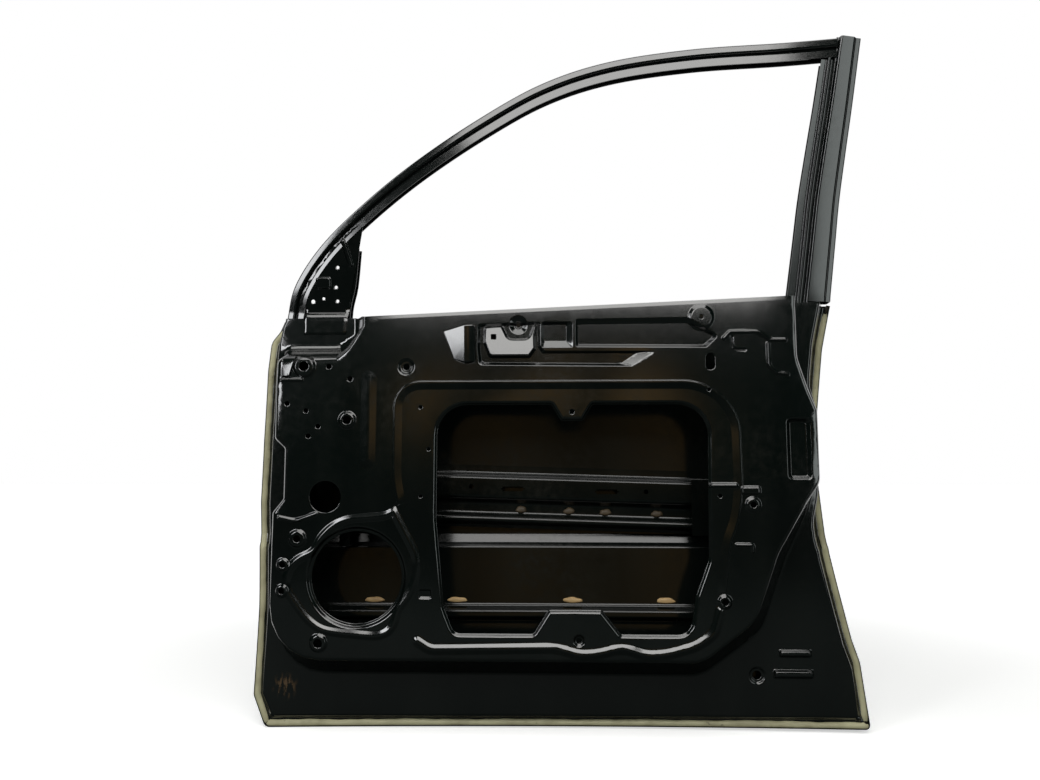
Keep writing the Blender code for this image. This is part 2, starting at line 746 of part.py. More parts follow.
def press_access(panel):
    """The opening with its turned lip, and the raised line that its cover is stuck to."""
    edge = access_outline()
    panel.draw(grow(edge, ACCESS_LIP), edge, height=-ACCESS_LIP)
    panel.pierce(divided(edge))
    left, right = ACCESS_FRONT_X, ACCESS_REAR_X
    top, bottom = ACCESS_TOP_Z, ACCESS_BOTTOM_Z
    upper = [(left - 57, -150), (left - 66, -110), (left - 66, top + 4), (left - 56, top + 24),
             (left - 36, top + 33), (right - 22, top + 33), (right + 18, top + 14),
             (right + 44, top - 26), (right + 46, -130), (right + 38, -176), (right + 24, -210),
             (right + 14, -290)]
    panel.bead(upper, SEAL_BEAD_WIDTH, SEAL_BEAD_HEIGHT, 4)
    lower = [(left - 28, bottom - 12), (left - 8, bottom - 25), (left + 195, bottom - 21),
             (left + 232, bottom - 32), (left + 262, bottom - 30), (left + 300, bottom - 20),
             (left + 338, bottom - 32), (left + 370, bottom - 30), (right - 30, bottom - 18),
             (right + 2, bottom + 2), (right + 12, bottom + 38)]
    panel.bead(lower, SEAL_BEAD_WIDTH, SEAL_BEAD_HEIGHT + 1, 4)
    tab_x = (left + right) / 2
    panel.pierce(circle(tab_x, top - 12, 8, 8))
    panel.boss(tab_x + 9, bottom - 10, 20, -4, 9, 4)
    for x, z in ((left - 28, top - 4), (right + 2, top + 24), (left - 26, -137), (left - 14, -60)):
        panel.pierce(circle(x, z, 6, 8))
    panel.emboss(box_outline(left - 28, left - 6, -302, -286, 4), -3, 3)


def press_latch_forms(panel):
    """Recess, ledges and rings of the rear of the trim face."""
    panel.emboss(box_outline(LATCH_X - 51, LATCH_X - 12, LATCH_Z - 50, LATCH_Z + 50, 8), -7, 6)
    panel.bead([(LATCH_X - 180, -119), (LATCH_X - 136, -119)], 8, 3.5, 3)
    panel.emboss(box_outline(LATCH_X - 128, LATCH_X - 96, -134, -120, 4), 3, 3)
    panel.boss(LATCH_X - 109, -150, 26, 3.5, 10)
    panel.boss(739, -304, 24, 4, 11)
    panel.bead([(760, -214), (786, -214), (786, -224)], 6, 3, 2.5)
    panel.pierce(circle(736, -136, 7, 8))
    land_pads = ((838, -402, 54, 12), (828, -436, 66, 14))
    for x, z, length, height in land_pads:
        panel.emboss(box_outline(x, x + length, z, z + height, 4), 6, 4)
    panel.boss(802, -432, 28, -3, 14, 3)


def inner_panel():
    """The cabin side of the door, one pressing."""
    edge = door_edge(SKIN_SHEET / 2 + SEAT_GAP + 1.6)
    first_x, last_x = edge[0][0], edge[-1][0]
    top = [(last_x - 2, belt_z(last_x) + BELT_FLANGE),
           (BELT_FRONT_X + 20, belt_z(BELT_FRONT_X) + BELT_FLANGE),
           (BELT_FRONT_X - 10, FRONT_TOP_Z - 4), (first_x, FRONT_TOP_Z - 4)]
    keep = (edge[:, 1] < FRONT_TOP_Z - 5) | (edge[:, 0] > SKIN_CROWN_X)
    panel = Pressing(np.vstack((edge[keep], top)), flange_y)
    step_foot = stretched_up(door_edge(HEM_FLANGE))
    step_crown = stretched_up(land_edge())
    panel.draw(step_foot, step_crown, level=LAND_Y)
    crown, foot = trim_outlines()
    panel.draw(foot, crown, level=TRIM_Y)
    press_belt_forms(panel)
    press_hinge_forms(panel)
    press_speaker(panel)
    press_access(panel)
    press_latch_forms(panel)
    piece = panel.build("inner_panel", PANEL_SHEET, black_primer())
    for cutter in shut_face_cutters():
        cut(piece, cutter)
    return piece


def stretched_up(path):
    """Closes a door edge well above the belt, where the sheet has ended."""
    over = 120.0
    return np.vstack((path, path[-1] + (0, over), path[0] + (0, over)))


def hinge_centres():
    return (0.0, -HINGE_PITCH)


def shut_face_cutters():
    """Bolt holes of the hinges, the check strap's slot and the latch's mouth."""
    length = 16.0
    bolt = rod_mesh("bolt_hole_shape", HINGE_BOLT_HOLE, length)
    cutters = []
    for z in hinge_centres():
        for up in (-0.5, 0.5):
            cutters.append(add_cutter("hinge_bolt_hole", bolt,
                                      place(HINGE_X, HINGE_MID_Y, z + up * HINGE_BOLT_SPACING)))
    slot = box_mesh("check_slot_shape", length, CHECK_SLOT_WIDTH, CHECK_SLOT_HEIGHT)
    cutters.append(add_cutter("check_slot", slot, place(CHECK_X, SHUT_MID_Y, CHECK_Z)))
    mouth = box_mesh("latch_mouth_shape", length, LATCH_OPENING_WIDTH, LATCH_OPENING_HEIGHT)
    cutters.append(add_cutter("latch_mouth", mouth,
                              place(LATCH_X + SHUT_DRAFT_RUN / 2, SHUT_MID_Y, LATCH_Z)))
    return cutters


def outer_panel():
    """The skin, with its edge folded back over the inner panel's flange."""
    fold = SKIN_SHEET + 2 * SEAT_GAP + PANEL_SHEET
    inner_edge = door_edge(fold / 2)
    belt = np.linspace(inner_edge[-1], inner_edge[0], 11)[1:-1]
    panel = Pressing(np.vstack((inner_edge, belt)), skin_y, 2 * LONGEST_EDGE)
    cup = ribbon([(HANDLE_FRONT_X + HANDLE_HEIGHT / 2, HANDLE_Z),
                  (HANDLE_REAR_X - HANDLE_HEIGHT / 2, HANDLE_Z)], HANDLE_HEIGHT)
    cup = rounded([(x, z, 18) for x, z in cup])
    panel.emboss(cup, HANDLE_DEPTH, HANDLE_RUN)
    for x in (HANDLE_FRONT_X + 24, HANDLE_REAR_X - 40):
        panel.pierce(box_outline(x, x + 16, HANDLE_Z - 9, HANDLE_Z + 9, 4))
    panel.add_grid(110.0, 40.0, lambda p: np.abs(p[:, 1] - LEDGE_Z + LEDGE_RUN / 2) > LEDGE_RUN)
    for level in (LEDGE_Z, LEDGE_Z - LEDGE_RUN):
        ends = inner_edge[np.abs(inner_edge[:, 1] - level) < 1e-6]
        panel.lines.append(np.linspace(ends[0], ends[-1], 12))
    points, faces = panel.surface()
    points, faces = points.tolist(), faces.tolist()
    flat = np.array([(p[0], p[2]) for p in points])
    rim = [int(np.argmin(((flat - at) ** 2).sum(1))) for at in inner_edge]
    for across, depth in ((0.0, fold / 2), (fold / 2, fold), (HEM_RETURN, fold)):
        row = door_edge(across)
        first = len(points)
        points.extend([x, float(skin_y(x, z)) - depth, z] for x, z in row)
        ring = list(range(first, first + len(row)))
        faces.extend((rim[k], rim[k + 1], ring[k + 1], ring[k]) for k in range(len(row) - 1))
        rim = ring
    piece = add_object("outer_panel", mesh_from("outer_panel", points, faces), black_primer())
    thicken(piece, SKIN_SHEET)
    return piece


# Window frame

def rail_path():
    """Outer edge of the rail, from behind the inner panel up the windscreen pillar and along the roof."""
    points = [(-7, FRAME_FOOT_Z - FRAME_TAIL), (-2, 176), (14, 232), (62, 298), (136, 365), (227, 432),
              (336, 498), (447, 553), (560, 586), (700, 604), (850, 612),
              (CORNER_JOINT_X + 12, FRAME_TOP_Z - 1)]
    return smooth_path(points, 3)


def rail_section():
    """Channel that is open towards the glass; the cabin flange is stepped back for the glass run."""
    lip = 13.0
    back = 8.0
    return sheet_section([(RAIL_WIDTH, back), (lip + 1, back), (lip - 1, 0), (1, 0), (0, 1),
                          (0, FRAME_DEPTH - 1), (1, FRAME_DEPTH), (RAIL_WIDTH - 2, FRAME_DEPTH)], FRAME_SHEET)


def frame_rail():
    path = rail_path()
    piece = sweep("frame_rail", path[::-1], [rail_section()] * len(path), frame_y, black_primer())
    size = 120.0
    end = box_mesh("rail_end_shape", size, 4 * size, size)
    cut(piece, add_cutter("rail_end", end, place(CORNER_JOINT_X + size / 2, 0.0, FRAME_TOP_Z)))
    return piece


def pillar_path():
    """Rear edge of the pillar, from behind the inner panel to the roof."""
    points = [(942, FRAME_FOOT_Z - FRAME_TAIL), (949, belt_z(949) + BELT_FLANGE - 2), (955, 290),
              (959, 364), (966, 443), (973, 520), (980, FRAME_TOP_Z)]
    return smooth_path(points, 2)


def pillar_section(width):
    """Rear lip, land for the seal, groove and rib, and the channel that is open towards the glass."""
    land_end = 0.56 * width
    groove_end = land_end + 11
    rib_end = groove_end + 6
    return sheet_section([(width, 7), (rib_end + 1, 7), (rib_end - 1, 0), (groove_end + 2, 0), (groove_end, 8),
                          (land_end + 2, 8), (land_end, 1), (12, 1), (9, 6), (1, 6), (0, 7),
                          (0, FRAME_DEPTH), (1, FRAME_DEPTH + 1), (width - 3, FRAME_DEPTH + 1)], FRAME_SHEET)


def rear_pillar():
    path = pillar_path()
    sections = []
    for x, z in path:
        up = (z - FRAME_FOOT_Z) / (FRAME_TOP_Z - FRAME_FOOT_Z)
        sections.append(pillar_section(PILLAR_WIDTH_FOOT + (PILLAR_WIDTH_TOP - PILLAR_WIDTH_FOOT) * up))
    piece = sweep("rear_pillar", path, sections, frame_y, black_primer())
    size = 120.0
    corner_x = CORNER_JOINT_X + SEAT_GAP
    corner_z = FRAME_TOP_Z - 2 - RAIL_WIDTH - 2.0
    notch = box_mesh("corner_notch_shape", size, 4 * size, size)
    where = place(corner_x - size / 2, 0.0, corner_z + size / 2)
    cut(piece, add_cutter("corner_notch", notch, where))
    beside = [x for x, z in land_edge() if x > SKIN_CROWN_X and z > FRAME_FOOT_Z - FRAME_TAIL]
    tail_x = float(min(beside)) - PILLAR_TAIL_INSET
    tail_z = belt_z(max(beside)) + BELT_FLANGE + PANEL_SHEET
    where = place(tail_x + size / 2, 0.0, tail_z - size / 2)
    cut(piece, add_cutter("tail_notch", notch, where))
    return piece


def mirror_bracket():
    """Pressed triangle that carries the mirror, welded to the rail and to the inner panel."""
    inset = 15.5
    bend = FRONT_TOP_Z - 2
    rail = shift_path(rail_path(), inset)
    rail = rail[(rail[:, 1] > 196) & (rail[:, 1] < 334)]
    outline = np.vstack(([(MIRROR_FRONT_X, MIRROR_FOOT_Z), (MIRROR_REAR_X - 2, MIRROR_FOOT_Z),
                          (MIRROR_REAR_X, bend), (MIRROR_REAR_X + 2, bend + 18), (112, 223), (118, 250),
                          (125, 280), (137, 336)], rail[::-1],
                         [(MIRROR_FRONT_X, bend + 18), (MIRROR_FRONT_X, bend)]))
    lift = (FRAME_SHEET + BRACE_SHEET) / 2 + SEAT_GAP
    seat = LAND_Y - (PANEL_SHEET + BRACE_SHEET) / 2 - SEAT_GAP

    def depth(x, z):
        upper = frame_y(x, z) + 8.0 - lift
        share = np.clip((z - bend) / 18, 0, 1)
        return seat + (upper - seat) * share

    panel = Pressing(outline, depth)
    panel.outline = divided(outline, 32.0)
    panel.emboss(box_outline(48, 76, 224, 245, 4), 3, 3)
    panel.bead([(100, 305), (112, 266)], 10, 3, 3)
    for x, z in mirror_nut_places():
        panel.pierce(circle(x, z, 7, 8))
    panel.pierce(circle(43, 203, 7, 8))
    panel.pierce(circle(62, 208, 5, 8))
    low, high = outline.min(0), outline.max(0)
    rows = np.array([(x, z) for z in (bend, bend + 18) for x in np.linspace(low[0] + 6, high[0] - 36, 5)])
    panel.grid = rows[within(rows, panel.outline) & (reach(rows, panel.outline) > 3)]
    return panel.build("mirror_bracket", BRACE_SHEET, black_primer())


def mirror_nut_places():
    return ((84, 228), (86, 204), (88, 262))


# Braces inside the door

def inner_belt_brace():
    """Reinforcement behind the belt line of the inner panel, stepped clear of the pressed forms."""
    seat = TRIM_Y + (PANEL_SHEET + BRACE_SHEET) / 2 + SEAT_GAP
    front = BELT_FRONT_X + 40
    rear = BELT_BRACE_REAR_X
    edge = 5.0
    strip = 9.0
    outline = np.array([(front, belt_z(front) - BELT_BRACE_HEIGHT), (rear, belt_z(rear) - BELT_BRACE_HEIGHT),
                        (rear, belt_z(rear) - edge), (front, belt_z(front) - edge)])
    panel = Pressing(outline, lambda x, z: seat + 0 * x)
    foot = np.array([(front - 20, belt_z(front) - 200), (rear + 20, belt_z(rear) - 200),
                     (rear + 20, belt_z(rear) - edge - strip), (front - 20, belt_z(front) - edge - strip)])
    crown = foot + np.array([(0, 0), (0, 0), (0, -8), (0, -8)])
    panel.draw(foot, crown, height=-BELT_BRACE_DRAW)
    for x, diameter in ((410, 54), (712, 60)):
        panel.pierce(circle(x, belt_z(x) - 25, diameter, 12))
    return panel.build("belt_brace_inner", BRACE_SHEET, black_primer())


def outer_belt_brace():
    """Hat section along the top of the skin."""
    front, rear = FRONT_TOP_X + 60, REAR_TOP_X - 110
    bottom = HANDLE_Z + HANDLE_HEIGHT / 2 + 13
    top = bottom + 38
    panel = Pressing(box_outline(front, rear, bottom, top, 6), on_skin_y)
    panel.emboss(box_outline(front + 14, rear - 14, bottom + 8, top - 8, 6), BELT_BRACE_DRAW, 6)
    return panel.build("belt_brace_outer", BRACE_SHEET, black_primer())


def beam_top_z(x):
    return BEAM_TOP_Z - BEAM_FALL * (x - BEAM_FRONT_X)


def beam_profile():
    """Down from the upper edge: flange, deep crown, valley, second crown, flange."""
    flange, crown = BEAM_FLANGE_Y, BEAM_FLANGE_Y - BEAM_DRAW
    valley = crown + BEAM_VALLEY
    return [(0, flange), (8, flange), (22, crown), (56, crown), (65, valley), (84, valley), (91, crown + 3),
            (96, crown + 3), (103, flange), (BEAM_HEIGHT, flange)]


def impact_beam():
    path = np.array([(BEAM_FRONT_X + k * (BEAM_REAR_X - BEAM_FRONT_X) / 4,
                      beam_top_z(BEAM_FRONT_X + k * (BEAM_REAR_X - BEAM_FRONT_X) / 4)) for k in range(5)])
    section = sheet_section(beam_profile(), BEAM_SHEET)
    piece = sweep("impact_beam", path[::-1], [section] * len(path), lambda x, z: 0.0, black_primer())
    for x in (396.0, 560.0):
        slot = box_mesh("beam_slot_shape", 42.0, 20.0, 8.0)
        cut(piece, add_cutter("beam_slot", slot, place(x, BEAM_FLANGE_Y - BEAM_DRAW, beam_top_z(x) - 40)))
    return piece


def bent_plate(name, profile, low, high, sheet):
    """A strip bent along its length in plan; profile points are (x, y)."""
    section = sheet_section(profile, sheet)
    count = len(section)
    points = [(x, y, z) for z in (low, high) for x, y in section]
    faces = [(k, (k + 1) % count, (k + 1) % count + count, k + count) for k in range(count)]
    faces += [tuple(range(count))[::-1], tuple(range(count, 2 * count))]
    return add_object(name, mesh_from(name, points, faces), black_primer())


def beam_brackets():
    """Plates that carry the beam's ends on the inner panel's lands."""
    over_beam = BEAM_FLANGE_Y - BEAM_DRAW - (BEAM_SHEET + BRACE_SHEET) / 2 - SEAT_GAP
    on_land = LAND_Y + (PANEL_SHEET + BRACE_SHEET) / 2 + SEAT_GAP
    front_z = beam_top_z(BEAM_FRONT_X) - 10
    front_land = FRONT_X + HEM_FLANGE + HEM_STEP_DRAFT * BEAM_FLANGE_Y - 4
    profile = [(front_land, on_land), (front_land + 16, on_land), (BEAM_FRONT_X - 4, over_beam),
               (BEAM_FRONT_X + FRONT_BRACKET_LAP, over_beam)]
    bent_plate("beam_bracket_front", profile, front_z - BEAM_BRACKET_HEIGHT, front_z, BRACE_SHEET)
    rear_z = beam_top_z(BEAM_REAR_X) - 10
    rear_land = LATCH_X + 3
    profile = [(BEAM_REAR_X - REAR_BRACKET_LAP, over_beam), (rear_land - 19, over_beam),
               (rear_land - 8, on_land), (rear_land, on_land)]
    bent_plate("beam_bracket_rear", profile, rear_z - BEAM_BRACKET_HEIGHT, rear_z, BRACE_SHEET)


def skin_stiffener():
    """Hat section low on the skin."""
    front, rear = STIFFENER_FRONT_X, STIFFENER_REAR_X
    low, high = STIFFENER_TOP_Z - STIFFENER_HEIGHT, STIFFENER_TOP_Z
    panel = Pressing(box_outline(front, rear, low, high, 6), on_skin_y)
    panel.emboss(box_outline(front + 12, rear - 12, low + 7, high - 5, 6), STIFFENER_DRAW, 6)
    return panel.build("skin_stiffener", BRACE_SHEET, black_primer())


def handle_brace():
    """Plate behind the outside handle, pressed to the same cup as the skin."""
    margin = 14.0
    clear = 4.0
    panel = Pressing(box_outline(HANDLE_FRONT_X - margin, HANDLE_REAR_X + margin / 2,
                                 HANDLE_Z - HANDLE_HEIGHT / 2 - margin, HANDLE_Z + HANDLE_HEIGHT / 2 + 8, 10),
                     on_skin_y)
    cup = ribbon([(HANDLE_FRONT_X + HANDLE_HEIGHT / 2, HANDLE_Z),
                  (HANDLE_REAR_X - HANDLE_HEIGHT / 2, HANDLE_Z)], HANDLE_HEIGHT)
    cup = grow(rounded([(x, z, 18) for x, z in cup]), clear)
    panel.emboss(cup, HANDLE_DEPTH, HANDLE_RUN)
    for x in (HANDLE_FRONT_X + 24, HANDLE_REAR_X - 40):
        panel.pierce(box_outline(x, x + 16, HANDLE_Z - 9, HANDLE_Z + 9, 4))
    return panel.build("handle_brace", BRACE_SHEET, black_primer())


def shut_plate(name, x, y, z, width, height, sheet, rear=False):
    """A flat plate on the inside of a shut face."""
    slope = -SHUT_SLOPE if rear else SHUT_SLOPE
    inwards = -1 if rear else 1
    offset = (PANEL_SHEET / 2 if rear else PANEL_SHEET) + SEAT_GAP + sheet / 2
    piece = add_object(name, box_mesh(name, sheet, width, height), black_primer())
    shift = inwards * offset / math.cos(slope)
    piece.matrix_world = place(x + shift, y, z, slope)
    return piece


def shut_brace_nut(name, x, z, beyond, slope):
    """Hexagonal weld nut on the inside of a hinge reinforcement."""
    piece = add_object(name, rod_mesh(name, NUT_WIDTH, NUT_HEIGHT, 6), black_primer())
    piece.matrix_world = place(x + beyond / math.cos(slope), HINGE_MID_Y, z, slope)
    bore = rod_mesh("nut_bore_shape", NUT_BORE, NUT_HEIGHT * 2, 12)
    cut(piece, add_cutter("nut_bore", bore, piece.matrix_world.copy()))
    return piece


def hinge_braces():
    for label, z in zip(("upper", "lower"), hinge_centres()):
        plate = shut_plate("hinge_brace_" + label, HINGE_X, HINGE_MID_Y, z, HINGE_PAD_WIDTH,
                           HINGE_PAD_HEIGHT, HINGE_SHEET)
        bolt = rod_mesh("brace_bolt_shape", HINGE_BOLT_HOLE, 16.0)
        for number, up in enumerate((-0.5, 0.5), 1):
            height = z + up * HINGE_BOLT_SPACING
            cut(plate, add_cutter("brace_bolt_hole", bolt, place(HINGE_X + 3, HINGE_MID_Y, height)))
            beyond = PANEL_SHEET + 2 * SEAT_GAP + HINGE_SHEET + NUT_HEIGHT / 2
            shut_brace_nut(f"hinge_nut_{label}_{number}", HINGE_X, height, beyond, SHUT_SLOPE)


def check_and_latch_braces():
    check = shut_plate("check_brace", CHECK_X, SHUT_MID_Y, CHECK_Z, 44.0, 66.0, BRACE_SHEET)
    slot = box_mesh("check_brace_slot_shape", 16.0, CHECK_SLOT_WIDTH, CHECK_SLOT_HEIGHT)
    cut(check, add_cutter("check_brace_slot", slot, place(CHECK_X, SHUT_MID_Y, CHECK_Z)))
    face = LATCH_X + SHUT_DRAFT_RUN / 2
    latch = shut_plate("latch_brace", face, SHUT_MID_Y, LATCH_Z, 50.0, LATCH_PLATE_HEIGHT, BRACE_SHEET, True)
    mouth = box_mesh("latch_brace_mouth_shape", 16.0, LATCH_OPENING_WIDTH, LATCH_OPENING_HEIGHT)
    cut(latch, add_cutter("latch_brace_mouth", mouth, place(face, SHUT_MID_Y, LATCH_Z)))


def glass_channels():
    """U channels that guide the glass inside the door."""
    half = FRAME_SHEET + SEAT_GAP
    near, far = 8.0 + half - 0.9, FRAME_DEPTH
    section = sheet_section([(CHANNEL_THROAT, near), (1, near), (0, near + 1), (0, far - 1), (1, far),
                             (CHANNEL_THROAT, far)], FRAME_SHEET)
    front = smooth_path([(110, 296), (102, 235), (90, 178), (92, 60), (96, -80), (98, CHANNEL_BOTTOM_Z)], 2)
    sweep("glass_channel_front", front, [section] * len(front), frame_y, black_primer())
    near, far = 7.0 + half, FRAME_DEPTH + 1 - half
    section = sheet_section([(CHANNEL_THROAT, near), (1, near), (0, near + 1), (0, far - 1), (1, far),
                             (CHANNEL_THROAT, far)], FRAME_SHEET)
    rear = smooth_path([(874, CHANNEL_BOTTOM_Z), (878, -80), (882, 60), (885, FRAME_FOOT_Z - 12)], 2)
    sweep("glass_channel_rear", rear, [section] * len(rear), frame_y, black_primer())


def mirror_nuts():
    """Weld nuts on the outer side of the mirror bracket."""
    for number, (x, z) in enumerate(mirror_nut_places(), 1):
        name = f"mirror_nut_{number}"
        piece = add_object(name, rod_mesh(name, 12.0, 5.0, 6, across_x=False), black_primer())
        slope = math.radians(FRAME_TILT) + (z - FRAME_FOOT_Z) / FRAME_RADIUS
        face = float(frame_y(x, z)) + 8.0 - SEAT_GAP - FRAME_SHEET / 2
        beyond = (SEAT_GAP + 2.5) / math.cos(slope) + 0.2
        turn = Matrix.Rotation(math.pi / 2 + slope, 4, "X")
        piece.matrix_world = place(x, face + beyond, z) @ turn
        bore = rod_mesh("mirror_bore_shape", 6.5, 12.0, 10, across_x=False)
        cut(piece, add_cutter("mirror_bore", bore, piece.matrix_world.copy()))


# Sealer

def sealer_beads():
    """Sealer over the hem's raw edge, in three runs."""
    edge = door_edge()
    on_return = -(SKIN_SHEET * 1.5 + PANEL_SHEET + 2 * SEAT_GAP + SEALER_SEAT)
    on_flange = -(SKIN_SHEET / 2 + PANEL_SHEET + SEAT_GAP + SEALER_SEAT)
    step = HEM_RETURN + SEALER_SEAT
    crest = on_return - SEALER_HEIGHT
    start = 1.5
    section = [(start, on_return), (step, on_return), (step, on_flange), (start + SEALER_WIDTH, on_flange),
               (start + SEALER_WIDTH - 2.5, crest), (start + 2.5, crest)]
    heel = int(np.argmax(edge[:, 0]))
    toe = int(np.argmin(np.abs(edge - (FRONT_X + 38, SILL_Z + 2)).sum(1)))
    runs = (("front", edge[1:toe]), ("bottom", edge[toe + 1:heel - 2]), ("rear", edge[heel + 1:-1]))
    for label, run in runs:
        sweep("hem_sealer_" + label, run, [section] * len(run), skin_y, hem_sealer())


def dab(name, x, y, z, width, height, thickness):
    """Half-round dab of sealer, flat below."""
    steps = 8
    arc = [(width / 2 * math.cos(math.pi * k / steps), height * math.sin(math.pi * k / steps))
           for k in range(steps + 1)]
    points = [(x + a, y - thickness, z + b) for a, b in arc] + [(x + a, y, z + b) for a, b in arc]
    count = len(arc)
    faces = [(k, (k + 1) % count, (k + 1) % count + count, k + count) for k in range(count)]
    faces += [tuple(range(count))[::-1], tuple(range(count, 2 * count))]
    return add_object(name, mesh_from(name, points, faces), mastic())


def sealer_dabs():
    for number, x in enumerate(DAB_XS, 1):
        z = STIFFENER_TOP_Z + SEAT_GAP
        skin = min(float(skin_y(x + side * DAB_WIDTH / 2, z)) for side in (-1, 1))
        back = skin - SKIN_SHEET / 2 - SEAT_GAP
        dab(f"stiffener_dab_{number}", x, back, z, DAB_WIDTH, DAB_HEIGHT, DAB_THICKNESS)
    for number, x in enumerate(BEAM_DAB_XS, 1):
        z = beam_top_z(x) - 82
        valley = BEAM_FLANGE_Y - BEAM_DRAW + BEAM_VALLEY - BEAM_SHEET / 2 - SEAT_GAP
        dab(f"beam_dab_{number}", x, valley, z, BEAM_DAB_WIDTH, 12.0, DAB_THICKNESS)


def build_door():
    outer_panel()
    inner_panel()
    frame_rail()
    rear_pillar()
    mirror_bracket()
    inner_belt_brace()
    outer_belt_brace()
    impact_beam()
    beam_brackets()
    skin_stiffener()
    handle_brace()
    hinge_braces()
    check_and_latch_braces()
    glass_channels()
    mirror_nuts()
    sealer_beads()
    sealer_dabs()


for old in list(bpy.data.objects):
    bpy.data.objects.remove(old)
PARTS = new_collection(DOOR_NAME)
CUTTERS = new_collection("cutters")
build_door()
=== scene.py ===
# %% [markdown]
# # A car door shell in black primer
#
# This is the cabin side of a front right door as the paint shop's dip leaves it: pressed sheet steel with
# a hard, glossy black primer, and a cream bead of sealer over the folded edge. The plan is to load the
# engineering model, stand finely rounded pressings in the place of its faceted ones, and spend the effort
# on the fillets, because on a black gloss only the bent edges catch the light.

# %% Load the door
import json
import math

import bmesh
import bpy
import numpy as np
from mathutils import Matrix, Vector
from mathutils.geometry import delaunay_2d_cdt

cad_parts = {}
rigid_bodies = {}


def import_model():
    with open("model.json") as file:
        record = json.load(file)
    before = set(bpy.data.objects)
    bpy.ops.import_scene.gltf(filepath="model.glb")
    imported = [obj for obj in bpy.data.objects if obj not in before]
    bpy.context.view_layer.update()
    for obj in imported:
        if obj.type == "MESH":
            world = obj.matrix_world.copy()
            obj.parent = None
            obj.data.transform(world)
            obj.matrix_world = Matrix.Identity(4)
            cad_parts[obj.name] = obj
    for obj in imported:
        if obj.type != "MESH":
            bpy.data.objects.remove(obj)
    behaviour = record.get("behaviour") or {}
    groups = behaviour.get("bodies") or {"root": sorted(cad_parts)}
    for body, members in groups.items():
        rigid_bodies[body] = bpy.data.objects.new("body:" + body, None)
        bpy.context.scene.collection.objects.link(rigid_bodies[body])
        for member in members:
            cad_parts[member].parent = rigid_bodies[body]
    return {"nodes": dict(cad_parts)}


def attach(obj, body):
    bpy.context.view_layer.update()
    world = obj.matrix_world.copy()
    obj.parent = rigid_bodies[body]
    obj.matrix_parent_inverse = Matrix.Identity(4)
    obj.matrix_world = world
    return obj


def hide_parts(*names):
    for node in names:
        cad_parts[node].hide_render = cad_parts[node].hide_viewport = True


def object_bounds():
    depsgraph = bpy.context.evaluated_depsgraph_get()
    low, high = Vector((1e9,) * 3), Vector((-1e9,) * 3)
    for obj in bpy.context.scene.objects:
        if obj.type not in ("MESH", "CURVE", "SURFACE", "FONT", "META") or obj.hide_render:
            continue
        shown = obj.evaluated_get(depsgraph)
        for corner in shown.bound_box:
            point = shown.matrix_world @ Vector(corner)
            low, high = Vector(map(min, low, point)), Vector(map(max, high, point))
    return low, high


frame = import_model()
cad_box = [list(corner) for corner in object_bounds()]
scene = bpy.context.scene
scene.view_settings.view_transform = "Standard"
MM = 0.001
print("nodes loaded:", len(frame["nodes"]))

# %% [markdown]
# The photograph was taken from a little below the middle of the door, close to square on, with the lens
# tipped up by six degrees. A 27.7 mm lens on a 36 mm sensor gives the same spread.

# %% Camera
camera_data = bpy.data.cameras.new("camera")
camera = bpy.data.objects.new("camera", camera_data)
scene.collection.objects.link(camera)
camera_data.lens = 27.69
camera_data.sensor_width = 36.0
camera_data.clip_end = 100.0
camera.location = Vector((457.8, -1355.0, -100.9)) * MM
camera.rotation_euler = (math.radians(96.0), 0.0, math.radians(2.0))
scene.camera = camera
print("camera stands", round(-camera.location.y, 3), "m in front of the hinge face")

# %% [markdown]
# ## The door's sizes
#
# Every pressing is laid out in the plane of the door, x along the car and z up, and then drawn to a depth
# y. Keeping the few sizes that all pieces share in one place means that a rail, its panel and its sealer
# still meet when one of them is changed.

# %% Shared sizes, in millimetres
SKIN_SHEET, PANEL_SHEET, FRAME_SHEET, BEAM_SHEET, SEAT_GAP = 0.8, 1.0, 1.2, 1.6, 0.3
TRIM_Y, LAND_Y = -40.0, 22.0
SKIN_Y, SKIN_MIDDLE_Z, SKIN_RADIUS = 84.0, -30.0, 2400.0
SKIN_CROWN, SKIN_CROWN_X, SKIN_CROWN_SPAN = 12.0, 460.0, 510.0
# The ledge across the skin is a gentle slope that the light finds, then a lip.
LEDGE_Z = -207.0
LEDGE_DOWN = (-1.5, 0.0, 1.5, 13.5, 15.0, 20.5, 22.0, 23.5)
LEDGE_IN = (0.0, 0.15, 0.45, 3.95, 4.55, 8.2, 8.85, 9.0)
FRONT_TOP_X, FRONT_TOP_Z, FRONT_X = -20.0, 176.0, -57.0
REAR_X, HEEL_X, SILL_Z = 934.0, 982.0, -525.0
REAR_TOP_X, REAR_TOP_Z = 963.0, 198.0
HEM_RETURN, HEM_FLANGE, HEM_STEP_RUN, HEM_STEP_DRAFT, SEAL_LAND = 7.0, 14.0, 6.0, 0.38, 14.0
BELT_FRONT_X, BELT_FRONT_Z, BELT_RISE, BELT_FLANGE = 130.0, 157.5, 0.0415, 5.0
SHUT_DRAFT_RUN, LOWER_RUN = 5.0, 33.0
TRIM_FRONT_X, TRIM_TOP_FRONT_Z, TRIM_BOTTOM_Z, TRIM_REAR_UPPER_X = 3.73, 94.0, -398.0, 867.0
CHECK_Z, CHECK_INSET, LATCH_X, LATCH_Z = -98.0, 17.5, 897.0, -60.0
ACCESS_FRONT_X, ACCESS_REAR_X, ACCESS_TOP_Z, ACCESS_BOTTOM_Z = 275.0, 720.0, 13.0, -356.0
SPEAKER_X, SPEAKER_Z = 145.0, -268.0
FRAME_FOOT_Z, FRAME_TOP_Z, RAIL_WIDTH, FRAME_DEPTH = 180.0, 619.0, 27.0, 27.0
FRAME_STEP, FRAME_LEAN, FRAME_RADIUS = 1.4, math.radians(11.0), 3600.0
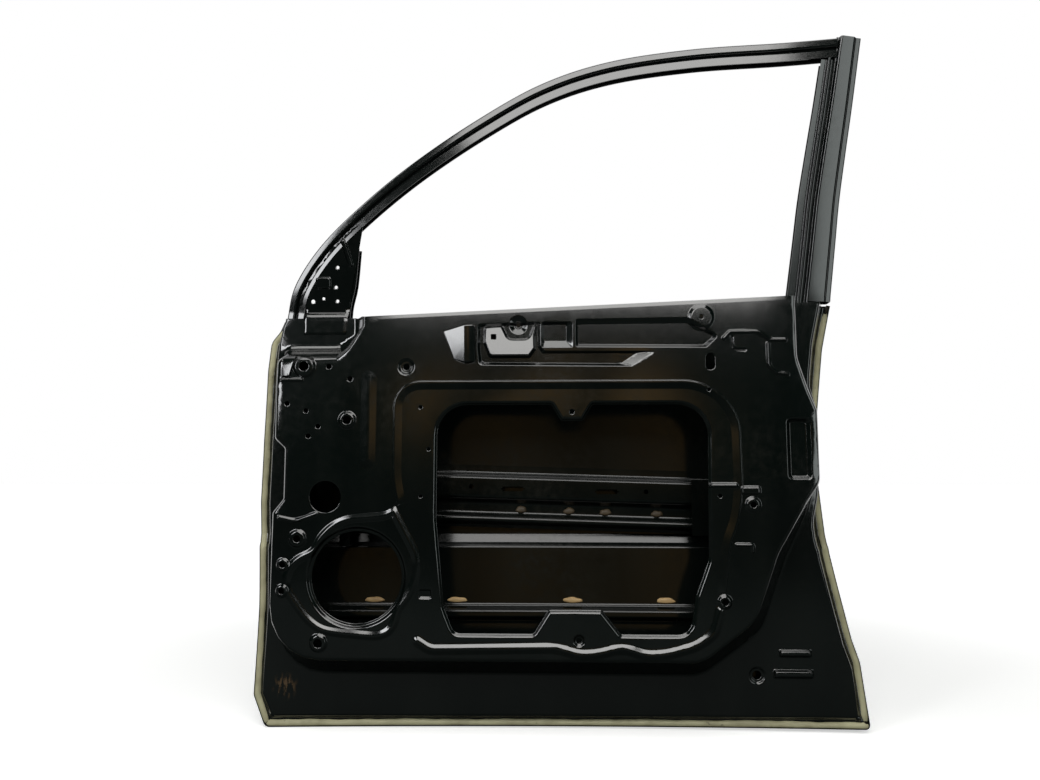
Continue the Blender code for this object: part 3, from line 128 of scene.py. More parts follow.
CORNER_JOINT_X = 940.0
BEAM_FRONT_X, BEAM_REAR_X = 40.0, 866.0
BEAM_OUTER, BEAM_CROWN, BEAM_VALLEY = 76.0, 55.0, 69.0
STIFFENER_TOP_Z = -324.0


# %% [markdown]
# ## Outlines
#
# A press tool is a set of outlines with corner radii. The helper below walks round a list of corners and
# swaps each for an arc with a fixed number of steps. With the step count fixed, the foot and the crown of
# one wall always have as many points as each other, so they can be joined point to point.

# %% Outline helpers
def rounded(corners, steps=5):
    """Closed outline through corners given as (x, z) or (x, z, radius)."""
    points = []
    count = len(corners)
    for i, corner in enumerate(corners):
        here = np.array(corner[:2], float)
        radius = corner[2] if len(corner) > 2 else 0.0
        if radius <= 0.0:
            points.append(here)
            continue
        before = np.array(corners[i - 1][:2], float) - here
        after = np.array(corners[(i + 1) % count][:2], float) - here
        length_before, length_after = np.linalg.norm(before), np.linalg.norm(after)
        before, after = before / length_before, after / length_after
        half = math.acos(max(-1.0, min(1.0, float(before @ after)))) / 2
        if half > math.pi / 2 - 0.01:
            points.extend(here + before * (steps / 2 - k) * 0.5 for k in range(steps + 1))
            continue
        cut = min(radius / math.tan(half), 0.48 * length_before, 0.48 * length_after)
        radius = cut * math.tan(half)
        middle = (before + after) / np.linalg.norm(before + after)
        centre = here + middle * radius / math.sin(half)
        first, last = here + before * cut - centre, here + after * cut - centre
        start = math.atan2(first[1], first[0])
        turn = (math.atan2(last[1], last[0]) - start + math.pi) % (2 * math.pi) - math.pi
        for k in range(steps + 1):
            angle = start + turn * k / steps
            points.append(centre + radius * np.array((math.cos(angle), math.sin(angle))))
    return np.array(points)


def circle(x, z, diameter, steps=32):
    angles = [2 * math.pi * k / steps for k in range(steps)]
    return np.array([(x + diameter / 2 * math.cos(a), z + diameter / 2 * math.sin(a)) for a in angles])


def box_outline(x0, x1, z0, z1, radius=3.0):
    return rounded([(x0, z0, radius), (x1, z0, radius), (x1, z1, radius), (x0, z1, radius)])


def side_normals(path):
    """Unit normals to the right of each stretch of an open path."""
    along = np.diff(path, axis=0)
    along /= np.maximum(np.linalg.norm(along, axis=1), 1e-9)[:, None]
    return np.stack((along[:, 1], -along[:, 0]), 1)


def turning(loop):
    after = np.roll(loop, -1, 0)
    return float((loop[:, 0] * after[:, 1] - loop[:, 1] * after[:, 0]).sum())


def grow(loop, distance):
    """Moves a closed outline outwards, or inwards where distance is negative."""
    normals = side_normals(np.vstack((loop, loop[:1])))
    if turning(loop) < 0:
        normals = -normals
    before = np.roll(normals, 1, 0)
    return loop + (before + normals) / (1 + (before * normals).sum(1))[:, None] * distance


def mitres(path):
    """How each point of an open path moves when every stretch moves 1 mm to its right."""
    normals = side_normals(path)
    before, after = np.vstack((normals[:1], normals)), np.vstack((normals, normals[-1:]))
    return (before + after) / (1 + (before * after).sum(1))[:, None]


def shift_path(path, distance):
    """Moves an open path to its right by one distance, or by one for each point."""
    return path + mitres(path) * np.reshape(distance, (-1, 1))


def smooth_path(points, steps):
    """Catmull-Rom curve through chosen points."""
    chosen = np.array(points, float)
    ends = np.vstack((2 * chosen[0] - chosen[1], chosen, 2 * chosen[-1] - chosen[-2]))
    curve = []
    for i in range(len(chosen) - 1):
        a, b, c, d = ends[i:i + 4]
        for k in range(steps):
            t = k / steps
            curve.append(0.5 * (2 * b + (c - a) * t + (2 * a - 5 * b + 4 * c - d) * t ** 2
                                + (3 * b - a - 3 * c + d) * t ** 3))
    curve.append(chosen[-1])
    return np.array(curve)


def bent(points, radius, steps=4):
    """An open path with its inner corners rounded."""
    chosen = [np.array(p, float) for p in points]
    path = [chosen[0]]
    for before, here, after in zip(chosen, chosen[1:], chosen[2:]):
        back, on = before - here, after - here
        room = 0.45 * min(np.linalg.norm(back), np.linalg.norm(on))
        reach_back = here + back / np.linalg.norm(back) * min(radius, room)
        reach_on = here + on / np.linalg.norm(on) * min(radius, room)
        for k in range(steps + 1):
            t = k / steps
            path.append((1 - t) ** 2 * reach_back + 2 * t * (1 - t) * here + t ** 2 * reach_on)
    path.append(chosen[-1])
    return np.array(path)


def ribbon(centre, width):
    """Closed outline of a band along a centre line, with round ends."""
    line = bent(centre, 3 * width, 4) if len(centre) > 2 else np.array(centre, float)
    right, left = shift_path(line, width / 2), shift_path(line, -width / 2)

    def cap(at, start):
        turn = [start + math.pi * k / 6 for k in range(1, 6)]
        return [at + width / 2 * np.array((math.cos(a), math.sin(a))) for a in turn]

    end = right[-1] - line[-1]
    begin = left[0] - line[0]
    return np.vstack((right, cap(line[-1], math.atan2(end[1], end[0])), left[::-1],
                      cap(line[0], math.atan2(begin[1], begin[0]))))


def divided_pair(foot, crown, longest):
    """Divides two paired outlines alike, so that they stay paired."""
    out_foot, out_crown = [], []
    for i in range(len(foot)):
        j = (i + 1) % len(foot)
        length = max(np.linalg.norm(foot[j] - foot[i]), np.linalg.norm(crown[j] - crown[i]))
        pieces = max(1, math.ceil(length / longest))
        for k in range(pieces):
            out_foot.append(foot[i] + (foot[j] - foot[i]) * k / pieces)
            out_crown.append(crown[i] + (crown[j] - crown[i]) * k / pieces)
    return np.array(out_foot), np.array(out_crown)


def divided(loop, longest):
    """The same closed outline with no edge longer than the given length."""
    return divided_pair(loop, loop, longest)[0]


def within(points, loop):
    """Which points lie inside a closed outline."""
    x, z = points[:, :1], points[:, 1:]
    x0, z0 = loop[:, 0], loop[:, 1]
    x1, z1 = np.roll(loop, -1, 0).T
    rise = np.where(z1 == z0, 1.0, z1 - z0)
    return (((z0 > z) != (z1 > z)) & (x < x0 + (z - z0) / rise * (x1 - x0))).sum(1) % 2 == 1


def reach(points, loop):
    """Distance from each point to a closed outline."""
    along = np.roll(loop, -1, 0) - loop
    length = np.maximum((along * along).sum(1), 1e-12)
    best = np.full(len(points), np.inf)
    for start in range(0, len(points), 2000):
        offset = points[start:start + 2000, None, :] - loop[None]
        share = np.clip((offset * along).sum(2) / length, 0, 1)
        best[start:start + 2000] = np.sqrt(((offset - share[..., None] * along) ** 2).sum(2).min(1))
    return best


# %% [markdown]
# ## The curved surfaces
#
# The skin is a barrel about a lengthways axis with a slight crown along the car and a stepped-in waist.
# The window frame leans in towards the roof. Each is one small function of x and z, and everything that
# sits on it asks that function for its depth.

# %% Surfaces
def skin_y(x, z):
    """Middle of the outer skin's sheet."""
    barrel = SKIN_Y - (z - SKIN_MIDDLE_Z) ** 2 / (2 * SKIN_RADIUS)
    crown = SKIN_CROWN * (1 - ((x - SKIN_CROWN_X) / SKIN_CROWN_SPAN) ** 2)
    return barrel + crown - np.interp(LEDGE_Z - z, LEDGE_DOWN, LEDGE_IN)


def flange_y(x, z):
    """Middle of the inner panel's flange, inside the fold."""
    return skin_y(x, z) - (SKIN_SHEET + PANEL_SHEET) / 2 - SEAT_GAP


def belt_z(x):
    return BELT_FRONT_Z + BELT_RISE * (x - BELT_FRONT_X)


def frame_y(x, z):
    """Innermost face of the window frame."""
    foot = np.maximum(FRAME_FOOT_Z, belt_z(x) + 2 * BELT_FLANGE)
    above = np.maximum(z - foot, 0.0)
    return LAND_Y + FRAME_STEP - math.tan(FRAME_LEAN) * above - above ** 2 / (2 * FRAME_RADIUS)


# %% [markdown]
# ## Pressing a sheet
#
# A real pressing has no sharp wall: steel bends round a radius at the foot of each wall and again at its
# crown. A displaced grid would need a point every millimetre to follow those radii, so the sheet is laid
# out flat instead, with a few outlines packed into each bend and nothing between, triangulated, and then
# each point is drawn to its depth by a profile of arc, straight wall and arc.

# %% The pressing class
GUARD = 1.2     # how far outside a hole or a facet a line keeps the flat sheet's shading flat


class Pressing:
    def __init__(self, outline, base, longest=14.0):
        self.outline = divided(outline, longest)
        self.longest = longest
        self.base = base
        self.walls, self.holes, self.lines, self.facets, self.covers = [], [], [], [], []
        self.grid = np.zeros((0, 2))

    def draw(self, foot, crown, height=None, level=None, bend=3.0):
        """A wall from foot to crown that raises the inside by height, or brings it to a level."""
        foot, crown = divided_pair(foot, crown, self.longest)
        self.walls.append((foot, crown, height, level, bend))

    def emboss(self, outline, height, run, bend=3.0, lean=0.0):
        """A raised or sunk form with a level face, or one that comes forward by lean for each mm down."""
        middle = outline[:, 1].mean()
        if lean:
            rise = height

            def height(x, z):
                return rise - lean * (z - middle)
        self.draw(outline, grow(outline, -run), height=height, bend=bend)

    def bead(self, centre, width, height, run, bend=2.5):
        self.draw(ribbon(centre, width), ribbon(centre, width - 2 * run), height=height, bend=bend)

    def ring(self, loop, width, height, run, bend=3.0):
        self.draw(grow(loop, width / 2), grow(loop, width / 2 - run), height=height, bend=bend)
        self.draw(grow(loop, run - width / 2), grow(loop, -width / 2), height=-height, bend=bend)

    def pierce(self, outline):
        self.holes.append(outline)

    def boss(self, x, z, diameter, height, hole=0.0, run=4.0):
        self.emboss(circle(x, z, diameter), height, run)
        if hole:
            self.pierce(circle(x, z, hole, 20))

    def facet(self, outline, height, creases=(), edge=1.5):
        """A form of flat planes inside an outline; height is a function of x and z."""
        self.facets.append((outline, height, edge))
        self.lines.extend(np.array(crease, float) for crease in creases)

    def cover(self, outline, surface):
        """Brings what lies behind a given surface up to it, inside an outline."""
        self.covers.append((outline, surface))

    @staticmethod
    def bends(run, height, radius):
        """Tangent length and radius of the arcs at a wall's foot and crown."""
        slope = np.arctan2(np.abs(height), np.maximum(run, 0.2))
        tangent = np.minimum(radius * np.tan(slope / 2), 0.45 * np.hypot(run, height))
        tangent = np.minimum(tangent, 0.95 * np.maximum(run, 0.2) / (1 + np.cos(slope)) + 4.0)
        return slope, np.maximum(tangent, 1e-3)

    def wall_share(self, points, foot, crown, height, bend):
        """How far up its wall each point lies, from 0 outside to 1 inside."""
        share = np.zeros(len(points))
        low, high = foot.min(0) - 12, foot.max(0) + 12
        near = ((points > low) & (points < high)).all(1)
        chosen = points[near]
        if not len(chosen):
            return share
        a = reach(chosen, foot) * np.where(within(chosen, foot), 1, -1)
        b = reach(chosen, crown) * np.where(within(chosen, crown), -1, 1)
        run = np.maximum(a + b, 0.2)
        rise = np.abs(height[near])
        slope, tangent = self.bends(run, rise, bend(*chosen.T) if callable(bend) else bend)
        radius = tangent / np.tan(slope / 2)
        along = tangent * np.cos(slope)
        low_arc = radius - np.sqrt(np.maximum(radius ** 2 - np.clip(a + tangent, 0, None) ** 2, 0))
        high_arc = radius - np.sqrt(np.maximum(radius ** 2 - np.clip(run + tangent - a, 0, None) ** 2, 0))
        straight = a * np.tan(slope)
        drawn = np.where(a < -tangent, 0.0, np.where(a < along, low_arc, np.where(
            a < run - along, straight, np.where(a < run + tangent, rise - high_arc, rise))))
        share[near] = np.clip(drawn / np.maximum(rise, 1e-6), 0, 1)
        return share

    @staticmethod
    def rise(points, height, level, y):
        """How far a wall lifts the sheet at each point."""
        if level is not None:
            return y - level
        return height(points[:, 0], points[:, 1]) if callable(height) else np.full(len(points), float(height))

    def depth(self, points, walls=None):
        """Depth of each point once all the walls, or the first few, are drawn."""
        y = self.base(points[:, 0], points[:, 1]) * np.ones(len(points))
        for foot, crown, height, level, bend in self.walls[:walls]:
            rise = self.rise(points, height, level, y)
            y = y - self.wall_share(points, foot, crown, rise, bend) * rise
        for outline, height, edge in self.facets if walls is None else ():
            inside = np.where(within(points, outline), np.clip(reach(points, outline) / edge, 0, 1), 0)
            y = y - height(points[:, 0], points[:, 1]) * inside
        for outline, surface in self.covers if walls is None else ():
            y = np.where(within(points, outline), np.minimum(y, surface(points[:, 0], points[:, 1])), y)
        return y

    def wall_loops(self):
        """The outlines that carry each wall's bends."""
        for number, (foot, crown, height, level, bend) in enumerate(self.walls):
            across = crown - foot
            run = np.linalg.norm(across, axis=1)
            ahead = across / np.maximum(run, 1e-6)[:, None]
            rise = np.abs(self.rise(foot, height, level, self.depth(foot, number)))
            slope, tangent = self.bends(run, rise, bend(*foot.T) if callable(bend) else bend)
            along = tangent * np.cos(slope)
            for at in (-tangent, -0.45 * tangent, 0.35 * along, along, run / 2, run - along,
                       run - 0.35 * along, run + 0.45 * tangent, run + tangent):
                yield foot + ahead * np.asarray(at)[:, None]

    def surface(self):
        """Points of the drawn sheet and its triangles."""
        loops = [self.outline] + self.holes + list(self.wall_loops())
        loops += [grow(hole, GUARD) for hole in self.holes] + [outline for outline, surface in self.covers]
        loops += [grow(outline, GUARD) for outline, height, edge in self.facets]
        for outline, height, edge in self.facets:
            loops += [outline, grow(outline, -edge / 2), grow(outline, -edge)]
        points, edges = [], []
        for loop in loops:
            first = len(points)
            points.extend(Vector(p) for p in loop)
            edges.extend((first + k, first + (k + 1) % len(loop)) for k in range(len(loop)))
        for line in self.lines:
            first = len(points)
            points.extend(Vector(p) for p in line)
            edges.extend((first + k, first + k + 1) for k in range(len(line) - 1))
        points.extend(Vector(p) for p in self.grid)
        flat, _, faces, *_ = delaunay_2d_cdt(points, edges, [], 0, 0.04)
        flat = np.array([tuple(p) for p in flat])
        faces = np.array(faces)
        middles = flat[faces].mean(1)
        side_a = flat[faces[:, 1]] - flat[faces[:, 0]]
        side_b = flat[faces[:, 2]] - flat[faces[:, 0]]
        area = np.abs(side_a[:, 0] * side_b[:, 1] - side_a[:, 1] * side_b[:, 0]) / 2
        keep = within(middles, self.outline) & (area > 1e-4)
        for hole in self.holes:
            keep &= ~within(middles, hole)
        faces = faces[keep]
        used = np.unique(faces)
        renumber = np.full(len(flat), -1)
        renumber[used] = np.arange(len(used))
        flat = flat[used]
        return np.stack((flat[:, 0], self.depth(flat), flat[:, 1]), 1), renumber[faces].tolist()


def mesh_from(name, points, faces, crease):
    """A smooth mesh from points in millimetres, sharp where it folds by more than crease degrees."""
    mesh = bpy.data.meshes.new(name)
    mesh.from_pydata((np.asarray(points, float) * MM).tolist(), [], faces)
    shape = bmesh.new()
    shape.from_mesh(mesh)
    bmesh.ops.recalc_face_normals(shape, faces=shape.faces)
    shape.to_mesh(mesh)
    shape.free()
    mesh.shade_smooth()
    mesh.set_sharp_from_angle(angle=math.radians(crease))
    return mesh


def stand(name, mesh, replaced, slot):
    """Adds a piece of the door in the place of one or more engineering nodes."""
    piece = bpy.data.objects.new(name, mesh)
    scene.collection.objects.link(piece)
    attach(piece, "root")
    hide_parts(*replaced)
    return piece


def fine_piece(node, points, faces, paint, slot="black_primer", crease=35.0):
    """Makes the fine form of one engineering node, in its place and painted."""
    name = node + "_fine"
    piece = stand(name, mesh_from(name, points, faces, crease), [node], slot)
    piece.data.materials.append(paint)
    return piece


def even_shading(piece):
    """Lets the large flat faces set the shading at their rims, so that they stay flat next to a bend."""
    shading = piece.modifiers.new("Even shading", "WEIGHTED_NORMAL")
    shading.keep_sharp = True


def thicken(piece, sheet):
    """Gives a sheet its thickness, half to each side."""
    solid = piece.modifiers.new("Sheet", "SOLIDIFY")
    solid.thickness = sheet * MM
    solid.offset = 0.0
    even_shading(piece)
    print(piece.name, "has", len(piece.data.polygons), "faces before it gets its thickness", flush=True)


# %% [markdown]
# ## Finishes
#
# The dip primer is a thin black coat that has flowed out nearly smooth, so it is a dielectric with almost no
# colour of its own and a low roughness. Its life comes from small unevenness: a very shallow flow texture in
# the normal, a film of dust that dulls it in patches, and a slightly drier look where the coat is thin. A
# tiny class turns Python sums into shader nodes, which keeps each finish readable as a formula.

# %% Shader expressions
def plug(tree, socket, value):
    """Links a field to a socket, or sets the socket to a plain value."""
    if isinstance(value, Field):
        tree.links.new(value.socket, socket)
    else:
        socket.default_value = value


class Field:
    """A socket that can be added, multiplied and compared in Python."""

    def __init__(self, tree, socket):
        self.tree = tree
        self.socket = socket

    def node(self, kind, settings=None, sockets=None, out=0):
        """Any other node: its settings first, then the values or links of its sockets."""
        made = self.tree.nodes.new(kind)
        for key, value in (settings or {}).items():
            if key == "stops":
                ramp = made.color_ramp
                while len(ramp.elements) < len(value):
                    ramp.elements.new(1.0)
                for element, (at, colour) in zip(ramp.elements, value):
                    element.position = at
                    element.color = colour
            else:
                setattr(made, key, value)
        for key, value in (sockets or {}).items():
            plug(self.tree, made.inputs[key], value)
        return Field(self.tree, made.outputs[out])

    def math(self, operation, other=0.0, swapped=False, clamp=False):
        pair = {0: other, 1: self} if swapped else {0: self, 1: other}
        return self.node("ShaderNodeMath", {"operation": operation, "use_clamp": clamp}, pair)

    def __add__(self, other):
        return self.math("ADD", other)

    def __radd__(self, other):
        return self.math("ADD", other)

    def __sub__(self, other):
        return self.math("SUBTRACT", other)

    def __rsub__(self, other):
        return self.math("SUBTRACT", other, swapped=True)

    def __mul__(self, other):
        return self.math("MULTIPLY", other)

    def __rmul__(self, other):
        return self.math("MULTIPLY", other)

    def clamped(self):
        return self.math("ADD", 0.0, clamp=True)

    def band(self, low, high):
        """0 below low, 1 above high, smooth between."""
        return self.node("ShaderNodeMapRange", {"interpolation_type": "SMOOTHSTEP"},
                         {"Value": self, "From Min": low, "From Max": high})

    def blend(self, first, second):
        """Mixes two colours by this value."""
        return self.node("ShaderNodeMix", {"data_type": "RGBA"}, {0: self, 6: first, 7: second}, out=2)

    def parts(self):
        """The x, y and z of a vector."""
        return [self.node("ShaderNodeSeparateXYZ", None, {"Vector": self}, out=axis) for axis in "XYZ"]


class Finish:
    """A material whose fields hang on the door's own coordinates."""

    def __init__(self, name, shown):
        self.material = bpy.data.materials.new(name)
        self.material.use_nodes = True
        self.material.diffuse_color = (*shown, 1.0)
        tree = self.material.node_tree
        self.shader = tree.nodes["Principled BSDF"]
        place = tree.nodes.new("ShaderNodeTexCoord")
        self.place = Field(tree, place.outputs["Object"])
        self.tree = tree

    def noise(self, scale, detail=3.0, roughness=0.5, stretch=(1.0, 1.0, 1.0)):
        spot = self.place
        if stretch != (1.0, 1.0, 1.0):
            spot = self.place.node("ShaderNodeVectorMath", {"operation": "MULTIPLY"},
                                   {0: self.place, 1: stretch})
        return spot.node("ShaderNodeTexNoise", None, {"Vector": spot, "Scale": scale, "Detail": detail,
                                                      "Roughness": roughness})

    def set(self, **values):
        for key, value in values.items():
            plug(self.tree, self.shader.inputs[key.replace("_", " ")], value)

    def bump(self, height, strength, distance):
        return height.node("ShaderNodeBump", None, {"Height": height, "Strength": strength,
                                                    "Distance": distance})


# %% Black dip primer
SCUFF_PLACE = (0.014, 0.022, -0.456)    # low at the front, as in the photograph


def make_primer(name, rough, dust_share, index):
    """Black gloss with a film of dust; index is the coat's refractive index."""
    black, thin = (0.0012, 0.0022, 0.0019, 1.0), (0.0030, 0.0042, 0.0036, 1.0)
    dusty, worn = (0.020, 0.019, 0.014, 1.0), (0.085, 0.048, 0.018, 1.0)
    finish = Finish(name, (0.02, 0.02, 0.02))
    patches = finish.noise(7.0, 4.0)
    fine = finish.noise(90.0, 3.0)
    streaks = finish.noise(14.0, 3.0, stretch=(1.0, 1.0, 0.25))
    dust = patches.band(0.45, 0.78) * fine.band(0.3, 0.75) * dust_share
    colour = dust.blend(streaks.band(0.35, 0.75).blend(black, thin), dusty)
    away = finish.place.node("ShaderNodeVectorMath", {"operation": "DISTANCE"},
                             {0: finish.place, 1: SCUFF_PLACE}, out=1)
    chips = finish.noise(150.0, 4.0, stretch=(1.0, 1.0, 0.35)).band(0.50, 0.60)
    scuff = (1.0 - away.band(0.006, 0.026)) * chips
    colour = scuff.blend(colour, worn)
    flow = finish.noise(38.0, 2.0)
    finish.set(Base_Color=colour, Metallic=0.0,
               Roughness=(dust * 0.35 + fine * 0.05 + scuff * 0.3 + rough).clamped(),
               IOR=index, Normal=finish.bump(flow, 0.025, 0.0012))
    return finish.material


primer = make_primer("black_primer", 0.10, 0.12, 1.8)
inner_primer = make_primer("black_primer_inside", 0.14, 0.25, 1.5)
print("primers:", primer.name, inner_primer.name)


# %% [markdown]
# The sealer is a cream paste that was laid by nozzle and wiped by hand. It is matt, a touch yellow where it
# is thick, and picks up grey dust in its small dents.

# %% Hem sealer and mastic
def make_sealer(name, clean, stained):
    """Matt paste, stained in blotches and dirty in its dents."""
    finish = Finish(name, clean)
    dirty = (*(0.5 * share for share in stained), 1.0)
    blotch = finish.noise(30.0, 4.0)
    grain = finish.noise(420.0, 2.0)
    dents = finish.noise(120.0, 3.0)
    colour = blotch.band(0.35, 0.75).blend((*clean, 1.0), (*stained, 1.0))
    finish.set(Base_Color=dents.band(0.66, 0.8).blend(colour, dirty),
               Roughness=(grain * 0.12 + 0.5).clamped(),
               Normal=finish.bump(dents * 0.7 + grain * 0.3, 0.35, 0.0006))
    return finish.material


sealer = make_sealer("hem_sealer", (0.46, 0.44, 0.27), (0.32, 0.30, 0.18))
mastic = make_sealer("mastic", (0.46, 0.31, 0.14), (0.30, 0.19, 0.08))
# Painted shade: the same mastic at about an eighth of its brightness, for the pads in the beam's valley deep
# in the cavity.
painted_shade_mastic = make_sealer("mastic_painted_shade", (0.060, 0.040, 0.018), (0.030, 0.020, 0.010))
print("sealers:", sealer.name, mastic.name, painted_shade_mastic.name)


# %% [markdown]
# ## The door's edge
#
# The lower body has one outline, from the front top corner down, round the sill and up to the rear top. The
# skin's fold, the panel's flange, the step to the seal land and the sealer all follow that one line.

# %% The door's edge
def ledge_points(path):
    """Adds points where a path crosses the ledge, so that the fold can follow it."""
    levels = [LEDGE_Z - down for down in LEDGE_DOWN]
    points = [path[0]]
    for here, after in zip(path[:-1], path[1:]):
        shares = [(level - here[1]) / (after[1] - here[1]) for level in levels
                  if min(here[1], after[1]) < level < max(here[1], after[1])]
        points.extend(here + (after - here) * share for share in sorted(shares) + [1.0])
    return np.array(points)


def door_edge(inwards=0.0, longest=16.0):
    """The edge from the front top, round the sill, to the rear top, moved inwards."""
    corners = [
        (FRONT_TOP_X - 3, FRONT_TOP_Z), (FRONT_TOP_X - 11, FRONT_TOP_Z - 18, 24),
        (FRONT_X + 10, FRONT_TOP_Z - 38, 30), (FRONT_X + 4, FRONT_TOP_Z - 90, 60),
        (FRONT_X, -40, 200), (FRONT_X - 1, -150, 200), (FRONT_X + 11, -330, 300),
        (FRONT_X + 14, SILL_Z + 52, 14), (FRONT_X + 38, SILL_Z + 2, 12),
        (HEEL_X + 2, SILL_Z + 8, 8), (HEEL_X - 4, SILL_Z + 110, 60), (REAR_X + 34, -379, 40),
        (REAR_X + 8, -235, 160), (REAR_X - 2, -100, 200), (REAR_X + 3, 10, 200),
        (REAR_TOP_X - 15, REAR_TOP_Z - 78, 120), (REAR_TOP_X, REAR_TOP_Z)]
    loop = rounded(corners, 5)
    start = int(np.argmin(np.abs(loop - corners[0][:2]).sum(1)))
    path = np.roll(loop, -start, 0)
    points = [path[0]]
    for here, after in zip(path[:-1], path[1:]):
        pieces = max(1, math.ceil(np.linalg.norm(after - here) / longest))
        points.extend(here + (after - here) * k / pieces for k in range(1, pieces + 1))
    return ledge_points(shift_path(np.array(points), -inwards))


def closed_above(path):
    """A closed outline from the door's edge, taken well over the belt."""
    over = 120.0
    return np.vstack((path, path[-1] + (0, over), path[0] + (0, over)))


print("the edge runs", round(float(np.linalg.norm(np.diff(door_edge(), axis=0), axis=1).sum())), "mm")


# %% [markdown]
# ## Inner panel
#
# One pressing carries everything the cabin side shows. Its trim face stands 62 mm proud of the land that
# the body seal meets. The forms below are listed as a toolmaker would: the deep wall first, then the pads
# and recesses under the belt, the hinge corner, the speaker, the big access opening and the latch corner.

# %% The deep wall
def trim_outlines():
    """Foot and crown of the wall between land and trim face."""
    front = TRIM_FRONT_X
    check = front + CHECK_INSET
    top, over, shut, low = TRIM_TOP_FRONT_Z, 260.0, SHUT_DRAFT_RUN, LOWER_RUN
    stations = [
        (front, top, 10, -shut, 22), (front, CHECK_Z + 56, 8, -shut, 0),
        (check, CHECK_Z + 40, 8, -shut, 0), (check, CHECK_Z - 44, 8, -shut, 0),
        (front, CHECK_Z - 66, 8, -shut, 0), (front, TRIM_BOTTOM_Z, 84, -shut, -low),
        (LATCH_X - 195, TRIM_BOTTOM_Z, 60, 8, -low), (LATCH_X - 110, TRIM_BOTTOM_Z + 64, 80, 24, -24),
        (LATCH_X - 72, TRIM_BOTTOM_Z + 170, 120, 28, -14), (LATCH_X - 26, LATCH_Z - 90, 60, 20, -14),
        (LATCH_X, LATCH_Z - 54, 26, shut, -6), (LATCH_X, LATCH_Z + 62, 16, shut, 4),
        (LATCH_X - 14, LATCH_Z + 98, 40, 7, 4), (TRIM_REAR_UPPER_X, LATCH_Z + 150, 60, 9, 2),
        (TRIM_REAR_UPPER_X, over, 0, 9, 0), (148, over, 0, -24, 0),
        (148, 146, 10, -24, -6), (124, top + 14, 14, -14, 20), (106, top, 10, -8, 22)]
    crown = rounded([(x, z, r) for x, z, r, dx, dz in stations])
    foot = rounded([(x + dx, z + dz, r) for x, z, r, dx, dz in stations])
    return foot, crown


# %% The sloped step up to the land
def land_edge():
    """Outer edge of the seal land, which leaves room for the rail's tail at the front top."""
    tail_x, tail_foot_z = -7.0, 120.0
    edge = door_edge()
    foot = shift_path(edge, -HEM_FLANGE)
    deep = flange_y(foot[:, 0], foot[:, 1]) - LAND_Y
    room = reach(foot, trim_outlines()[0]) - SEAL_LAND
    beside_tail = (foot[:, 1] > tail_foot_z) & (foot[:, 0] < tail_x)
    room = np.where(beside_tail, tail_x - 2 * PANEL_SHEET - foot[:, 0], room)
    run = np.maximum(np.minimum(HEM_STEP_DRAFT * deep, room), HEM_STEP_RUN)
    return edge, shift_path(edge, -HEM_FLANGE - run)


